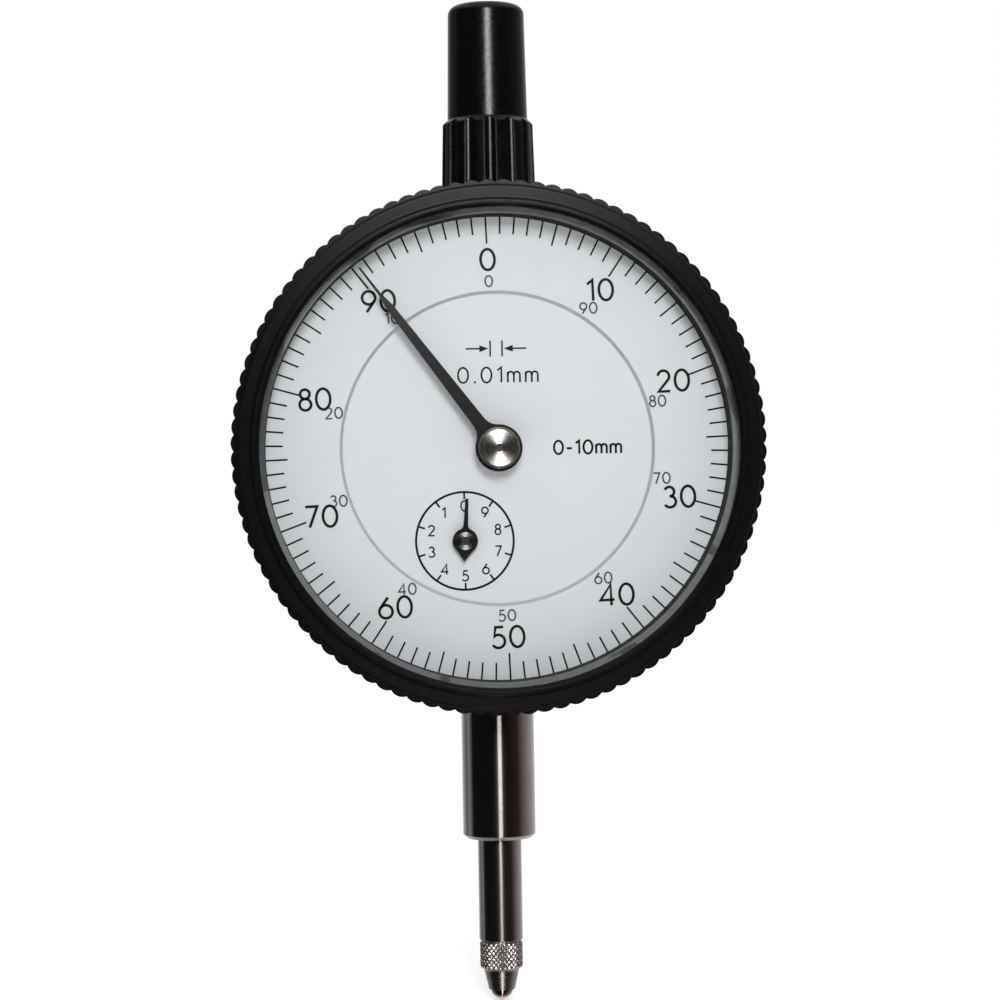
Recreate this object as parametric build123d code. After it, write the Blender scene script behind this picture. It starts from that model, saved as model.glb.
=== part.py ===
"""Dial indicator, 10 mm range, 0.01 mm graduation, 56 mm bezel, 8 mm stem.

Frame: +Z runs up the spindle axis, the dial faces -Y and +X is to the reader's right.
The origin is the middle of the stem's clamping length. Sizes are millimetres.
Every piece is drawn about the dial centre and lifted by dial_height when it is written.
"""
import os
from math import acos, atan2, cos, degrees, hypot, pi, radians, sin, tan

from build123d import *

# ---- clearances shared by every fit ----
running_gap = 0.03        # radial play of a shaft in its bush, pivot or jewel
sliding_gap = 0.05        # radial play of the bezel on the case, and of pieces laid in the bezel
loose_gap = 0.3           # room between pieces that pass each other
thin_gap = 0.1            # room between small inner pieces
groove_gap = 0.02         # side play of the snap wire in its grooves
oring_gap = 0.05          # side play of the O-ring in its groove
join = 0.1                # how far two parts of one piece run into each other
over = 1.0                # how far a cut runs past what it cuts
screw_gap = 0.1           # radial room of a screw in a clearance hole

# ---- bezel, crystal and dial ----
bezel_radius = 28.1
serration_count = 100
serration_depth = 0.3
bezel_wall = 2.05
bezel_lip_width = 0.95    # how far the front lip covers the crystal
bezel_lip_depth = 0.9
bezel_step_width = 1.5    # radial width of the flat step inside the serrated band
bezel_step_depth = 0.55
serration_front = 1.6     # from the bezel's front face to the start of the serrated band
bezel_band = 5.6          # length of the serrated band
bezel_tail = 1.5          # plain skirt behind the band
bezel_shoulder_inset = 0.25
bezel_edge = 0.3
bezel_rim_edge = 0.25     # slope round the raised front ring
bezel_rim_fall = 0.2
bezel_lip_edge = 0.35
tail_inset = 0.7
crystal_thickness = 1.2
gasket_thickness = 0.3
spacer_width = 1.37
ring_thickness = 0.35     # graduated ring
ring_inner_radius = 16.5
ring_slope_width = 0.3    # slope round the graduated ring's inner edge
ring_slope_depth = 0.27
dial_thickness = 0.4      # fixed centre disc
dial_lap = 1.0            # the fixed disc runs this far under the graduated ring
dial_gap = 0.05           # between the fixed disc and the graduated ring
dial_face = -9.9          # front of the graduated ring
crystal_height = 3.9      # from the graduated ring's front to the crystal's back

# ---- case ----
spigot_wall = 2.4
spigot_length = 2.6
shoulder_width = 1.0      # the case body stands out this far past the spigot
case_back = 5.2
rim_gap = 0.5             # from the case's front rim to the graduated ring's back
shelf_width = 3.2
shelf_thickness = 1.3
shelf_join = 0.5
shelf_notch = 4.2         # half width of the shelf's notches for the spindle
foot_radius = 6.0         # boss that the stem is pressed into
foot_height = 0.6
foot_back = 4.6
neck_base_radius = 5.0
neck_base_height = 1.0
neck_radius = 3.7
neck_length = 5.0
neck_root = 0.2           # how far the neck stands into the case's bore, cut off there
oring_section = 0.9
oring_squeeze = 0.1
wire_section = 0.6
wire_mouth = 1.2          # half of the snap wire's opening
groove_spacing = 0.35

# ---- back cover and lug ----
back_gasket_thickness = 0.4
cover_thickness = 2.0
cover_step = 0.3
cover_edge = 0.5
lug_thickness = 5.0
lug_hole_radius = 3.25
lug_end_radius = 6.5
lug_reach = 8.6           # from the cover's face to the lug hole
lug_base_radius = 9.0
lug_base_height = 0.8
lug_base_slope = 0.5
back_screw_radius = 0.8
back_screw_head = 1.4
back_screw_head_height = 0.9
back_screw_length = 5.0
back_screw_edge = 0.25    # cover left outside each screw's counterbore
back_screw_count = 4

# ---- stem and bushes ----
stem_radius = 4.0
stem_length = 15.0        # free length below the case
stem_chamfer = 0.4
stem_spigot_radius = 3.7
stem_inset = 1.4          # from the case's bore to the stem's inner end
bush_wall = 0.8
lower_bush_length = 7.0
bush_setback = 0.3
upper_bush_inset = 0.4

# ---- spindle ----
spindle_radius = 2.4
upper_spindle_radius = 2.0
spindle_exposed = 11.4    # below the stem's end, at rest
spindle_top_rise = 1.0
spindle_end_edge = 0.2
spindle_top_edge = 0.3
spindle_shoulder_slope = 0.4
collar_clearance = 0.2    # from the collar to the rear plate
travel = 10.5
collar_radius = 3.3
collar_height = 1.2
collar_flat_gap = 0.1     # from the rack's root to the collar's flat
buffer_thickness = 0.5
buffer_gap = 0.05
upper_stop_gap = 0.8      # from the spindle's shoulder to the upper bush, at full travel
guide_pin_radius = 0.75
guide_pin_height = 2.0
guide_pin_reach = 9.0
guide_pin_inset = 0.6     # the pin stops this far inside the spindle's left side

# ---- contact point ----
contact_barrel_radius = 2.35
contact_barrel_length = 3.0
contact_cone_radius = 1.9
contact_cone_length = 2.3
contact_seat_radius = 1.42
ball_radius = 1.25
ball_show = 1.1          # how much of the ball stands past the cone
contact_stud_radius = 1.25
contact_stud_length = 5.0
contact_edge = 0.25
contact_lip = 0.2         # step and height of the bead between barrel and cone
contact_hole_extra = 0.6

# ---- cap over the spindle's upper end ----
cap_radius = 4.17         # at the top
cap_foot_radius = 4.4    # where the smooth part meets the grip
cap_grip_top_radius = 4.95
cap_grip_bottom_radius = 5.16
cap_grip_edge = 0.5      # slope round the grip's top
cap_grip_top = 36.3       # above the dial centre
cap_headroom = 3.0
cap_end_wall = 1.4
cap_edge = 1.0
cap_bore_gap = 0.7
cap_flute_count = 14
cap_flute_depth = 0.35
cap_flute_radius = 0.75
thread_gap = 0.05

# ---- gear train ----
rack_pitch = 0.625
train_module = 0.19       # of the wheels and the centre pinion
pressure_angle = radians(20)
rack_pinion_teeth = 16
wheel_teeth = 100
centre_pinion_teeth = 10
tooth_thinning = 0.03
wheel_clearance = 0.4     # from the rear plate to the wheels
bridge_clearance = 1.0    # from the rack pinion to its bridge
small_arbor_direction = radians(-110.5)
takeup_direction = radians(60)
full_addendum = 1.0       # in modules
short_addendum = 0.6
rack_addendum = 0.9
dedendum = 1.25
rack_end_margin = 1.9

# ---- plates ----
plate_thickness = 0.9
plate_space = 3.0         # between the rear plate and the front plate
front_plate_radius = 21.0
plate_edge_gap = 0.3
plate_screw_radius = 0.8
plate_screw_head = 1.4
plate_screw_head_height = 0.5
plate_screw_inset = 1.7
pillar_radius = 1.3
pillar_inset = 2.2
pillar_hole_depth = 2.0
pillar_screw_reach = 1.8  # of the screw in the pillar
dial_foot_inset = 3.0
dial_foot_angles = [20, 200]
screw_slot_width = 0.3
screw_slot_rim = 0.3      # head left at each end of the slot
jewel_radius = 1.3
plate_screw_angles = [120, 160, 300, 340]
pillar_angles = [135, 172, 315, 352]

# ---- arbors, wheels and hands ----
pivot_radius = 0.45
staff_radius = 0.6
arbor_radius = 0.75
wheel_thickness = 0.5
wheel_hub_radius = 1.6
wheel_hub_length = 1.1
wheel_window_count = 5
wheel_window_radius = 2.0
wheel_window_outset = 0.3
pinion_length = 1.0
rack_pinion_length = 3.2
arbor_end_play = 0.05
bridge_thickness = 0.9
bridge_half_height = 1.7
bridge_leg_width = 3.0
bridge_foot = 2.3         # the leg's foot past the bridge, above and below
bridge_foot_thickness = 1.2
bridge_reach = 7.0
bridge_overhang = 1.6
bridge_screw_radius = 0.6
main_hand_length = 24.0
main_hand_ring_radius = 2.5
main_hand_root = 0.78     # half widths: at the arbor, before the pointer and along the pointer
main_hand_shoulder = 0.4
main_hand_tip = 0.15
main_hand_point = 0.105
main_hand_pointer = 20.6  # where the fine pointer starts
main_hand_step = 1.8
main_hand_blend = 1.8
main_hand_thickness = 0.25
main_hand_height = 1.85   # above the graduated ring's front
main_hand_angle = -36.9
main_boss_radius = 2.2
main_boss_height = 1.2
main_boss_edge = 0.25
main_boss_hole = 0.42
small_hand_length = 4.5
small_hand_tail = 2.2
small_hand_root = 0.3     # half widths
small_hand_tip = 0.15
small_hand_tail_root = 1.1
small_hand_tail_height = 0.675
small_hand_blend = 0.5
small_hand_ring_radius = 1.35
small_hand_thickness = 0.2
small_hand_height = 0.35
small_hand_angle = 3.2
small_boss_radius = 0.95
small_boss_height = 0.45
staff_setback = 0.3
staff_shoulder = 0.2      # the arbor is this much thicker than its pivot behind the pinion
staff_end_gap = 0.1

# ---- springs and guide ----
hairspring_turns = 5
hairspring_inner = 1.15
hairspring_pitch = 0.6
hairspring_strip = 0.08
hairspring_steps = 16     # points per turn
hairspring_height = 0.6
hairspring_gap = 0.2      # from the wheel's hub to the hairspring
collet_radius = 1.0
stud_size = 0.8
guide_plate_left = 4.6
guide_plate_web = 1.0
guide_plate_foot = 3.6
guide_plate_foot_thickness = 0.8
guide_plate_margin = 3.0
guide_plate_back = 2.6
guide_slot_gap = 0.05
guide_screw_radius = 0.6
guide_screw_head = 1.0
guide_screw_inset = 1.5   # from the guide's ends
guide_screw_reach = 2.0   # from the guide's web
spring_radius = 1.1
spring_wire = 0.25
spring_rest_length = 20.0
spring_turns = 22
spring_post_radius = 0.6
spring_post_length = 2.0

# ---- sizes that follow ----
rack_module = rack_pitch / pi
centre_distance = train_module * (wheel_teeth + centre_pinion_teeth) / 2
rack_pinion_radius = rack_module * rack_pinion_teeth / 2
small_x = centre_distance * cos(small_arbor_direction)
small_z = centre_distance * sin(small_arbor_direction)
takeup_x = centre_distance * cos(takeup_direction)
takeup_z = centre_distance * sin(takeup_direction)

bezel_bore = bezel_radius - bezel_wall
lip_bore = bezel_bore - bezel_lip_width
laid_radius = bezel_bore - sliding_gap
spigot_radius = bezel_bore - sliding_gap
case_bore = spigot_radius - spigot_wall
case_radius = spigot_radius + shoulder_width
ring_back = dial_face + ring_thickness
crystal_back = dial_face - crystal_height
crystal_front = crystal_back - crystal_thickness
bezel_front = crystal_front - bezel_lip_depth
case_front = ring_back + rim_gap
shoulder_face = case_front + spigot_length
bezel_back = bezel_front + serration_front + bezel_band + bezel_tail
disc_front = ring_back + dial_gap
disc_back = disc_front + dial_thickness
disc_radius = ring_inner_radius + dial_lap

cover_inner = case_back + back_gasket_thickness
cover_face = cover_inner + cover_thickness
cover_radius = case_radius - cover_step
back_screw_circle = cover_radius - cover_edge - back_screw_edge - screw_gap - back_screw_head

rear_plate_back = -(collar_radius + collar_clearance)
rear_plate_front = rear_plate_back - plate_thickness
front_plate_back = rear_plate_front - plate_space
front_plate_front = front_plate_back - plate_thickness
rear_plate_radius = case_bore - plate_edge_gap
plate_screw_circle = rear_plate_radius - plate_screw_inset
pillar_circle = front_plate_radius - pillar_inset
wheel_back = rear_plate_front - wheel_clearance
wheel_front = wheel_back - wheel_thickness
hand_back = dial_face - main_hand_height
small_hand_back = dial_face - small_hand_height

foot_bottom = -(case_radius + foot_height)
stem_top = -(case_bore + stem_inset)
stem_end = foot_bottom - stem_length
stem_bore = spindle_radius + bush_wall
dial_height = -(foot_bottom + stem_end + stem_chamfer) / 2
spindle_end = stem_end - spindle_exposed
collar_bottom = stem_top + buffer_thickness + buffer_gap
neck_seat = case_radius + neck_base_height
neck_top = neck_seat + neck_length
spindle_top = neck_top + spindle_top_rise
upper_bush_bottom = case_bore + upper_bush_inset
shoulder_height = upper_bush_bottom - travel - upper_stop_gap
cap_ceiling = spindle_top + travel + cap_headroom
cap_top = cap_ceiling + cap_end_wall
rack_pitch_line = small_x + rack_pinion_radius
rack_tip = rack_pitch_line - rack_addendum * rack_module
rack_root = rack_pitch_line + dedendum * rack_module
bridge_front = rack_pinion_length / 2 + bridge_clearance
bridge_back = bridge_front + bridge_thickness
slot_bottom = guide_pin_height - guide_pin_radius - loose_gap
slot_top = guide_pin_height + travel + guide_pin_radius + loose_gap
spring_x = guide_pin_reach - spring_radius


# ---- drawing helpers ----
def rod_y(radius, start, end, x=0.0, z=0.0):
    """A cylinder along Y between two depths."""
    return Pos(x, (start + end) / 2, z) * Rot(X=90) * Cylinder(radius, abs(end - start))


def rod_z(radius, bottom, top, x=0.0, y=0.0):
    """A cylinder along Z between two heights."""
    return Pos(x, y, (bottom + top) / 2) * Cylinder(radius, top - bottom)


def rod_x(radius, left, right, y=0.0, z=0.0):
    """A cylinder along X between two places."""
    return Pos((left + right) / 2, y, z) * Rot(Y=90) * Cylinder(radius, right - left)


def block(left, right, front, back, bottom, top):
    """A box between six faces."""
    centre = Pos((left + right) / 2, (front + back) / 2, (bottom + top) / 2)
    return centre * Box(right - left, back - front, top - bottom)


def turned_y(*points):
    """A body turned about the dial axis from (radius, depth) points."""
    return revolve(make_face(Polyline(*points, close=True)), Axis.Y)


def turned_z(*points):
    """A body turned about the spindle axis from (radius, height) points."""
    return revolve(Plane.XZ * make_face(Polyline(*points, close=True)), Axis.Z)


def ring_y(inner, outer, front, back, x=0.0, z=0.0):
    """A flat ring about an axis along Y."""
    return rod_y(outer, front, back, x, z) - rod_y(inner, front - over, back + over, x, z)


def plate(outline, front, back):
    """A flat piece cut from an (x, z) outline."""
    return Pos(0, back, 0) * extrude(Plane.XZ * outline, amount=back - front)


def on_circle(radius, angle):
    """The x and z of a place on a circle about the dial centre, angle in degrees from +X."""
    return radius * cos(radians(angle)), radius * sin(radians(angle))


# ---- gear teeth ----
def involute(base, radius):
    """The involute's angle at a radius."""
    pressure = acos(min(1.0, base / radius))
    return tan(pressure) - pressure


def gear_outline(module, teeth, addendum, first_tooth, steps):
    """A spur gear's outline; first_tooth is the direction of one tooth's middle."""
    pitch_radius = module * teeth / 2
    base = pitch_radius * cos(pressure_angle)
    tip = pitch_radius + addendum * module
    root = pitch_radius - dedendum * module
    start = max(base, root)
    half = (pi * module / 2 - tooth_thinning / 2) / 2 / pitch_radius + involute(base, pitch_radius)
    flank = [(root, half - involute(base, start))] if root < base else []
    for step in range(steps + 1):
        radius = start + (tip - start) * step / steps
        flank.append((radius, half - involute(base, radius)))
    points = []
    for tooth in range(teeth):
        middle = first_tooth + 2 * pi * tooth / teeth
        side = [(r, middle - a) for r, a in flank] + [(r, middle + a) for r, a in reversed(flank)]
        points += [(r * cos(a), r * sin(a)) for r, a in side]
    return make_face(Polyline(*points, close=True))


def meshing_tooth(first_tooth, teeth, other_teeth, direction):
    """Where a gear that meshes in this direction must have a tooth."""
    step = 2 * pi / teeth
    offset = (first_tooth - direction + step / 2) % step - step / 2
    return direction + pi - offset * teeth / other_teeth + pi / other_teeth


rack_wheel_tooth = small_arbor_direction + pi
centre_tooth = meshing_tooth(rack_wheel_tooth, wheel_teeth, centre_pinion_teeth, rack_wheel_tooth)
takeup_tooth = meshing_tooth(centre_tooth, centre_pinion_teeth, wheel_teeth, takeup_direction)


def rack_cut():
    """What is milled away from the spindle's left side to leave the rack teeth."""
    half = (rack_pitch - tooth_thinning) / 4
    half_tip = half - (rack_pitch_line - rack_tip) * tan(pressure_angle)
    half_root = half + (rack_root - rack_pitch_line) * tan(pressure_angle)
    low = small_z - travel - rack_end_margin
    high = small_z + rack_end_margin
    outside = -2 * spindle_radius
    first = int((low - small_z) / rack_pitch - 0.5)
    last = int((high - small_z) / rack_pitch + 0.5)
    points = [(outside, low), (rack_tip, low)]
    for number in range(first, last):
        middle = small_z + (number + 0.5) * rack_pitch
        if middle - half_root > low and middle + half_root < high:
            points += [(rack_root, middle - half_root), (rack_tip, middle - half_tip),
                       (rack_tip, middle + half_tip), (rack_root, middle + half_root)]
    points += [(rack_tip, high), (outside, high)]
    return plate(make_face(Polyline(*points, close=True)), -2 * spindle_radius, 2 * spindle_radius)


# ---- case and its fixed pieces ----
def groove_depths():
    """The middles of the case's two grooves: snap wire and O-ring."""
    wire = case_front + groove_spacing + wire_section / 2
    oring = wire + wire_section / 2 + groove_spacing + oring_section / 2
    return wire, oring


def case():
    body = turned_y((case_bore, case_front), (spigot_radius, case_front), (spigot_radius, shoulder_face),
                    (case_radius, shoulder_face), (case_radius, case_back), (case_bore, case_back))
    shelf = ring_y(case_bore - shelf_width, case_bore + shelf_join, rear_plate_back,
                   rear_plate_back + shelf_thickness)
    shelf -= block(-shelf_notch, shelf_notch, rear_plate_back - over, case_back, -case_bore, case_bore)
    shelf -= block(guide_plate_left - loose_gap, guide_foot_left() + guide_plate_foot + loose_gap,
                   rear_plate_back - over, case_back, guide_bottom() - loose_gap, guide_top() + loose_gap)
    foot = rod_z(foot_radius, foot_bottom, -case_bore)
    foot &= block(-foot_radius, foot_radius, shoulder_face, foot_back, foot_bottom, -case_bore)
    neck = rod_z(neck_base_radius, case_bore + neck_root, neck_seat)
    neck += rod_z(neck_radius, neck_seat, neck_top)
    body += [shelf, foot, neck]
    body -= rod_y(case_bore, rear_plate_back + shelf_thickness, case_back + over)
    body -= rod_y(case_bore, case_front - over, rear_plate_back)
    body -= rod_z(stem_spigot_radius, foot_bottom - over, stem_top)
    body -= rod_z(collar_radius + loose_gap, stem_top, -case_bore + shelf_width)
    body -= rod_z(upper_spindle_radius + bush_wall, case_bore - over, neck_top + over)
    wire, oring = groove_depths()
    body -= ring_y(spigot_radius - wire_section / 2, spigot_radius + over, wire - wire_section / 2,
                   wire + wire_section / 2)
    body -= ring_y(spigot_radius + oring_squeeze - oring_section, spigot_radius + over,
                   oring - oring_section / 2, oring + oring_section / 2)
    for x, z in back_screw_places():
        body -= rod_y(back_screw_radius, case_back - back_screw_length, case_back + over, x, z)
    for x, z in plate_screw_places():
        body -= rod_y(plate_screw_radius, rear_plate_back - over, rear_plate_back + shelf_thickness + over,
                      x, z)
    return body


def back_screw_places():
    step = 360 / back_screw_count
    return [on_circle(back_screw_circle, step * (n + 0.5)) for n in range(back_screw_count)]


def plate_screw_places():
    return [on_circle(plate_screw_circle, angle) for angle in plate_screw_angles]


def pillar_places():
    return [on_circle(pillar_circle, angle) for angle in pillar_angles]


def bezel_snap_ring():
    """An open spring wire, square in section, that keeps the bezel on the case."""
    wire, _ = groove_depths()
    body = ring_y(spigot_radius - wire_section / 2, spigot_radius + wire_section / 2,
                  wire - wire_section / 2 + groove_gap, wire + wire_section / 2 - groove_gap)
    return body - block(-wire_mouth, wire_mouth, wire - over, wire + over, 0, spigot_radius + over)


def bezel_oring():
    """The O-ring that gives the bezel its friction, squeezed to its groove."""
    _, oring = groove_depths()
    return ring_y(spigot_radius + oring_squeeze - oring_section, spigot_radius + sliding_gap / 2,
                  oring - oring_section / 2 + oring_gap, oring + oring_section / 2 - oring_gap)


def stem():
    shank = turned_z((0, stem_end), (stem_radius - stem_chamfer, stem_end),
                     (stem_radius, stem_end + stem_chamfer), (stem_radius, foot_bottom),
                     (stem_spigot_radius, foot_bottom), (stem_spigot_radius, stem_top), (0, stem_top))
    shank -= rod_z(spindle_radius + loose_gap, stem_end - over, stem_top + over)
    return shank - rod_z(stem_bore, stem_end - over, stem_end + bush_setback + lower_bush_length)


def bush(inner, outer, bottom, top):
    return rod_z(outer, bottom, top) - rod_z(inner, bottom - over, top + over)


def lower_bush():
    bottom = stem_end + bush_setback
    return bush(spindle_radius + running_gap, stem_bore, bottom, bottom + lower_bush_length)


def upper_bush():
    inner, outer = upper_spindle_radius + running_gap, upper_spindle_radius + bush_wall
    return bush(inner, outer, upper_bush_bottom, neck_top)


def buffer_washer():
    return bush(spindle_radius + loose_gap, collar_radius, stem_top, stem_top + buffer_thickness)


def spindle_cap():
    """The screw-on cap: smooth above, fluted grip below."""
    body = turned_z((0, neck_seat), (cap_grip_bottom_radius, neck_seat),
                    (cap_grip_top_radius, cap_grip_top - cap_grip_edge),
                    (cap_grip_top_radius - cap_grip_edge, cap_grip_top), (cap_foot_radius, cap_grip_top),
                    (cap_radius, cap_top), (0, cap_top))
    body = fillet(body.edges().group_by(Axis.Z)[-1], cap_edge)
    lean = degrees(atan2(cap_grip_bottom_radius - cap_grip_top_radius, cap_grip_top - neck_seat))
    reach = cap_grip_bottom_radius + cap_flute_radius - cap_flute_depth
    flute_height = cap_grip_top - neck_seat + 4 * over
    for number in range(cap_flute_count):
        flute = Cylinder(cap_flute_radius, flute_height, align=(Align.CENTER, Align.CENTER, Align.MIN))
        place = Rot(Z=360 * (number + 0.5) / cap_flute_count) * Pos(reach, 0, neck_seat) * Rot(Y=-lean)
        body -= place * flute
    body -= rod_z(neck_radius + thread_gap, neck_seat - over, neck_top + loose_gap)
    return body - rod_z(upper_spindle_radius + cap_bore_gap, neck_top, cap_ceiling)


def screw_y(radius, head_radius, head_height, length, head_at, towards, x, z):
    """A slotted pan-head screw along Y; its head stands from head_at, away from towards."""
    head = rod_y(head_radius, head_at, head_at - towards * head_height, x, z)
    shank = rod_y(radius, head_at - towards * head_height / 2, head_at + towards * length, x, z)
    top = head_at - towards * head_height
    depth = head_height / 2
    reach = head_radius - screw_slot_rim
    slot = block(x - reach, x + reach, min(top, top + towards * depth), max(top, top + towards * depth),
                 z - screw_slot_width / 2, z + screw_slot_width / 2)
    return head + shank - slot


def back_cover():
    """The cover with its centre lug; the lug's hole runs along X."""
    body = turned_y((0, cover_inner), (cover_radius, cover_inner), (cover_radius, cover_face - cover_edge),
                    (cover_radius - cover_edge, cover_face), (lug_base_radius, cover_face),
                    (lug_base_radius - lug_base_slope, cover_face + lug_base_height),
                    (0, cover_face + lug_base_height))
    centre = cover_face + lug_reach
    lug = rod_x(lug_end_radius, -lug_thickness / 2, lug_thickness / 2, centre)
    lug += block(-lug_thickness / 2, lug_thickness / 2, cover_inner + cover_thickness / 2, centre,
                 -lug_end_radius, lug_end_radius)
    body += lug
    body -= rod_x(lug_hole_radius, -lug_thickness, lug_thickness, centre)
    for x, z in back_screw_places():
        body -= rod_y(back_screw_radius + screw_gap, cover_inner - over, cover_face + over, x, z)
        body -= rod_y(back_screw_head + screw_gap, cover_face - back_screw_head_height, cover_face + over,
                      x, z)
    return body


def back_gasket():
    body = ring_y(case_bore, cover_radius, case_back, cover_inner)
    for x, z in back_screw_places():
        body -= rod_y(back_screw_radius + screw_gap, case_back - over, cover_inner + over, x, z)
    return body


def back_screws():
    seat = cover_face - back_screw_head_height
    length = seat - case_back + back_screw_length - loose_gap
    return [screw_y(back_screw_radius, back_screw_head, back_screw_head_height, length, seat, -1, x, z)
            for x, z in back_screw_places()]


# ---- movement plates ----
def pivot_places():
    return [(0.0, 0.0), (takeup_x, takeup_z), (small_x, small_z)]


def rear_plate():
    body = rod_y(rear_plate_radius, rear_plate_front, rear_plate_back)
    for x, z in plate_screw_places() + pillar_places():
        body -= rod_y(plate_screw_radius, rear_plate_front - over, rear_plate_back + over, x, z)
    for x, z in pivot_places()[:2]:
        body -= rod_y(jewel_radius, rear_plate_front - over, rear_plate_back + over, x, z)
    body -= rod_y(arbor_radius + loose_gap, rear_plate_front - over, rear_plate_back + over,
                  small_x, small_z)
    for x, z in bridge_screw_places() + guide_screw_places() + [(spring_x, spring_post_height())]:
        body -= rod_y(bridge_screw_radius, rear_plate_front - over, rear_plate_back + over, x, z)
    return body


def front_plate():
    body = rod_y(front_plate_radius, front_plate_front, front_plate_back)
    for x, z in pillar_places():
        body -= rod_y(plate_screw_radius, front_plate_front - over, front_plate_back + over, x, z)
    for x, z in pivot_places():
        body -= rod_y(jewel_radius, front_plate_front - over, front_plate_back + over, x, z)
    for x, z in foot_places():
        body -= rod_y(pivot_radius, front_plate_front - over, front_plate_back + over, x, z)
    return body


def plate_pillars():
    """Four pillars that keep the plates apart; each ends in a rivet in the rear plate."""
    pillars = []
    for x, z in pillar_places():
        body = rod_y(pillar_radius, front_plate_back, rear_plate_front, x, z)
        body += rod_y(plate_screw_radius, rear_plate_front - join, rear_plate_back, x, z)
        hole_end = front_plate_back + pillar_hole_depth
        pillars.append(body - rod_y(plate_screw_radius, front_plate_back - over, hole_end, x, z))
    return pillars


def plate_screws():
    length = plate_thickness + shelf_thickness - thin_gap
    return [screw_y(plate_screw_radius, plate_screw_head, plate_screw_head_height, length,
                    rear_plate_front, 1, x, z) for x, z in plate_screw_places()]


def pillar_screws():
    length = plate_thickness + pillar_screw_reach
    return [screw_y(plate_screw_radius, plate_screw_head, plate_screw_head_height, length,
                    front_plate_front, 1, x, z) for x, z in pillar_places()]


def pivot_jewels():
    """Bearing jewels: two in the rear plate, three in the front plate."""
    rear = [ring_y(pivot_radius + running_gap, jewel_radius, rear_plate_front, rear_plate_back, x, z)
            for x, z in pivot_places()[:2]]
    front = [ring_y(bore + running_gap, jewel_radius, front_plate_front, front_plate_back, x, z)
             for (x, z), bore in zip(pivot_places(), [staff_radius, pivot_radius, pivot_radius])]
    return rear + front


def foot_places():
    return [on_circle(disc_radius - dial_foot_inset, angle) for angle in dial_foot_angles]


def dial_plate():
    """The fixed centre disc of the dial, with two feet in the front plate."""
    body = rod_y(disc_radius, disc_front, disc_back)
    for x, z in foot_places():
        body += rod_y(pivot_radius, disc_back - join, front_plate_back - thin_gap, x, z)
    body -= rod_y(staff_radius + loose_gap, disc_front - over, disc_back + over)
    return body - rod_y(pivot_radius + loose_gap, disc_front - over, disc_back + over, small_x, small_z)


def bridge_screw_places():
    x = small_x - bridge_reach + bridge_leg_width / 2
    away = bridge_half_height + bridge_foot / 2
    return [(x, small_z - away), (x, small_z + away)]


def rack_bridge():
    """Carries the rack pinion's rear pivot behind the spindle."""
    left = small_x - bridge_reach
    body = block(left, small_x + bridge_overhang, bridge_front, bridge_back,
                 small_z - bridge_half_height, small_z + bridge_half_height)
    body += block(left, left + bridge_leg_width, rear_plate_back, bridge_back,
                  small_z - bridge_half_height, small_z + bridge_half_height)
    foot = bridge_half_height + bridge_foot
    body += block(left, left + bridge_leg_width, rear_plate_back, rear_plate_back + bridge_foot_thickness,
                  small_z - foot, small_z + foot)
    for x, z in bridge_screw_places():
        body -= rod_y(bridge_screw_radius, rear_plate_back - over, rear_plate_back + 2 * over, x, z)
    bore = pivot_radius + running_gap
    return body - rod_y(bore, bridge_front - over, bridge_back + over, small_x, small_z)


def bridge_screws():
    seat = rear_plate_back + bridge_foot_thickness
    length = bridge_foot_thickness + plate_thickness
    return [screw_y(bridge_screw_radius, guide_screw_head, plate_screw_head_height, length, seat, -1, x, z)
            for x, z in bridge_screw_places()]


# ---- spindle guide and return spring ----
def guide_foot_left():
    return guide_plate_left + guide_plate_web


def guide_bottom():
    return slot_bottom - guide_plate_margin


def guide_top():
    return slot_top + guide_plate_margin


def guide_screw_places():
    x = guide_foot_left() + guide_screw_reach
    return [(x, guide_bottom() + guide_screw_inset), (x, guide_top() - guide_screw_inset)]


def guide_plate():
    """An angle with a long slot that keeps the spindle from turning."""
    body = block(guide_plate_left, guide_foot_left(), rear_plate_back, guide_plate_back,
                 guide_bottom(), guide_top())
    body += block(guide_plate_left, guide_foot_left() + guide_plate_foot, rear_plate_back,
                  rear_plate_back + guide_plate_foot_thickness, guide_bottom(), guide_top())
    half = guide_pin_radius + guide_slot_gap
    body -= block(guide_plate_left - over, guide_foot_left() + over, -half, half, slot_bottom, slot_top)
    for x, z in guide_screw_places():
        body -= rod_y(guide_screw_radius, rear_plate_back - over, rear_plate_back + 2 * over, x, z)
    return body


def guide_screws():
    seat = rear_plate_back + guide_plate_foot_thickness
    length = guide_plate_foot_thickness + plate_thickness
    return [screw_y(guide_screw_radius, guide_screw_head, plate_screw_head_height, length, seat, -1, x, z)
            for x, z in guide_screw_places()]


def spring_post_height():
    return guide_pin_height - spring_rest_length


def spring_post():
    """The fixed lower anchor of the return spring."""
    x, z = spring_x, spring_post_height()
    body = rod_y(bridge_screw_radius, rear_plate_front, rear_plate_back + join, x, z)
    return body + rod_y(spring_post_radius, rear_plate_back, spring_post_length, x, z)


def return_spring():
    """An extension spring from the fixed post up to the guide pin."""
    bottom = spring_post_height() + spring_post_radius + thin_gap
    top = guide_pin_height - guide_pin_radius - thin_gap
    coil = spring_radius - spring_wire
    path = Helix(pitch=(top - bottom - 2 * spring_wire) / spring_turns,
                 height=top - bottom - 2 * spring_wire, radius=coil)
    start = Plane(origin=path @ 0, z_dir=path % 0)
    wire = sweep(start * Circle(spring_wire), path=path)
    return Pos(spring_x, 0, bottom + spring_wire) * wire


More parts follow.
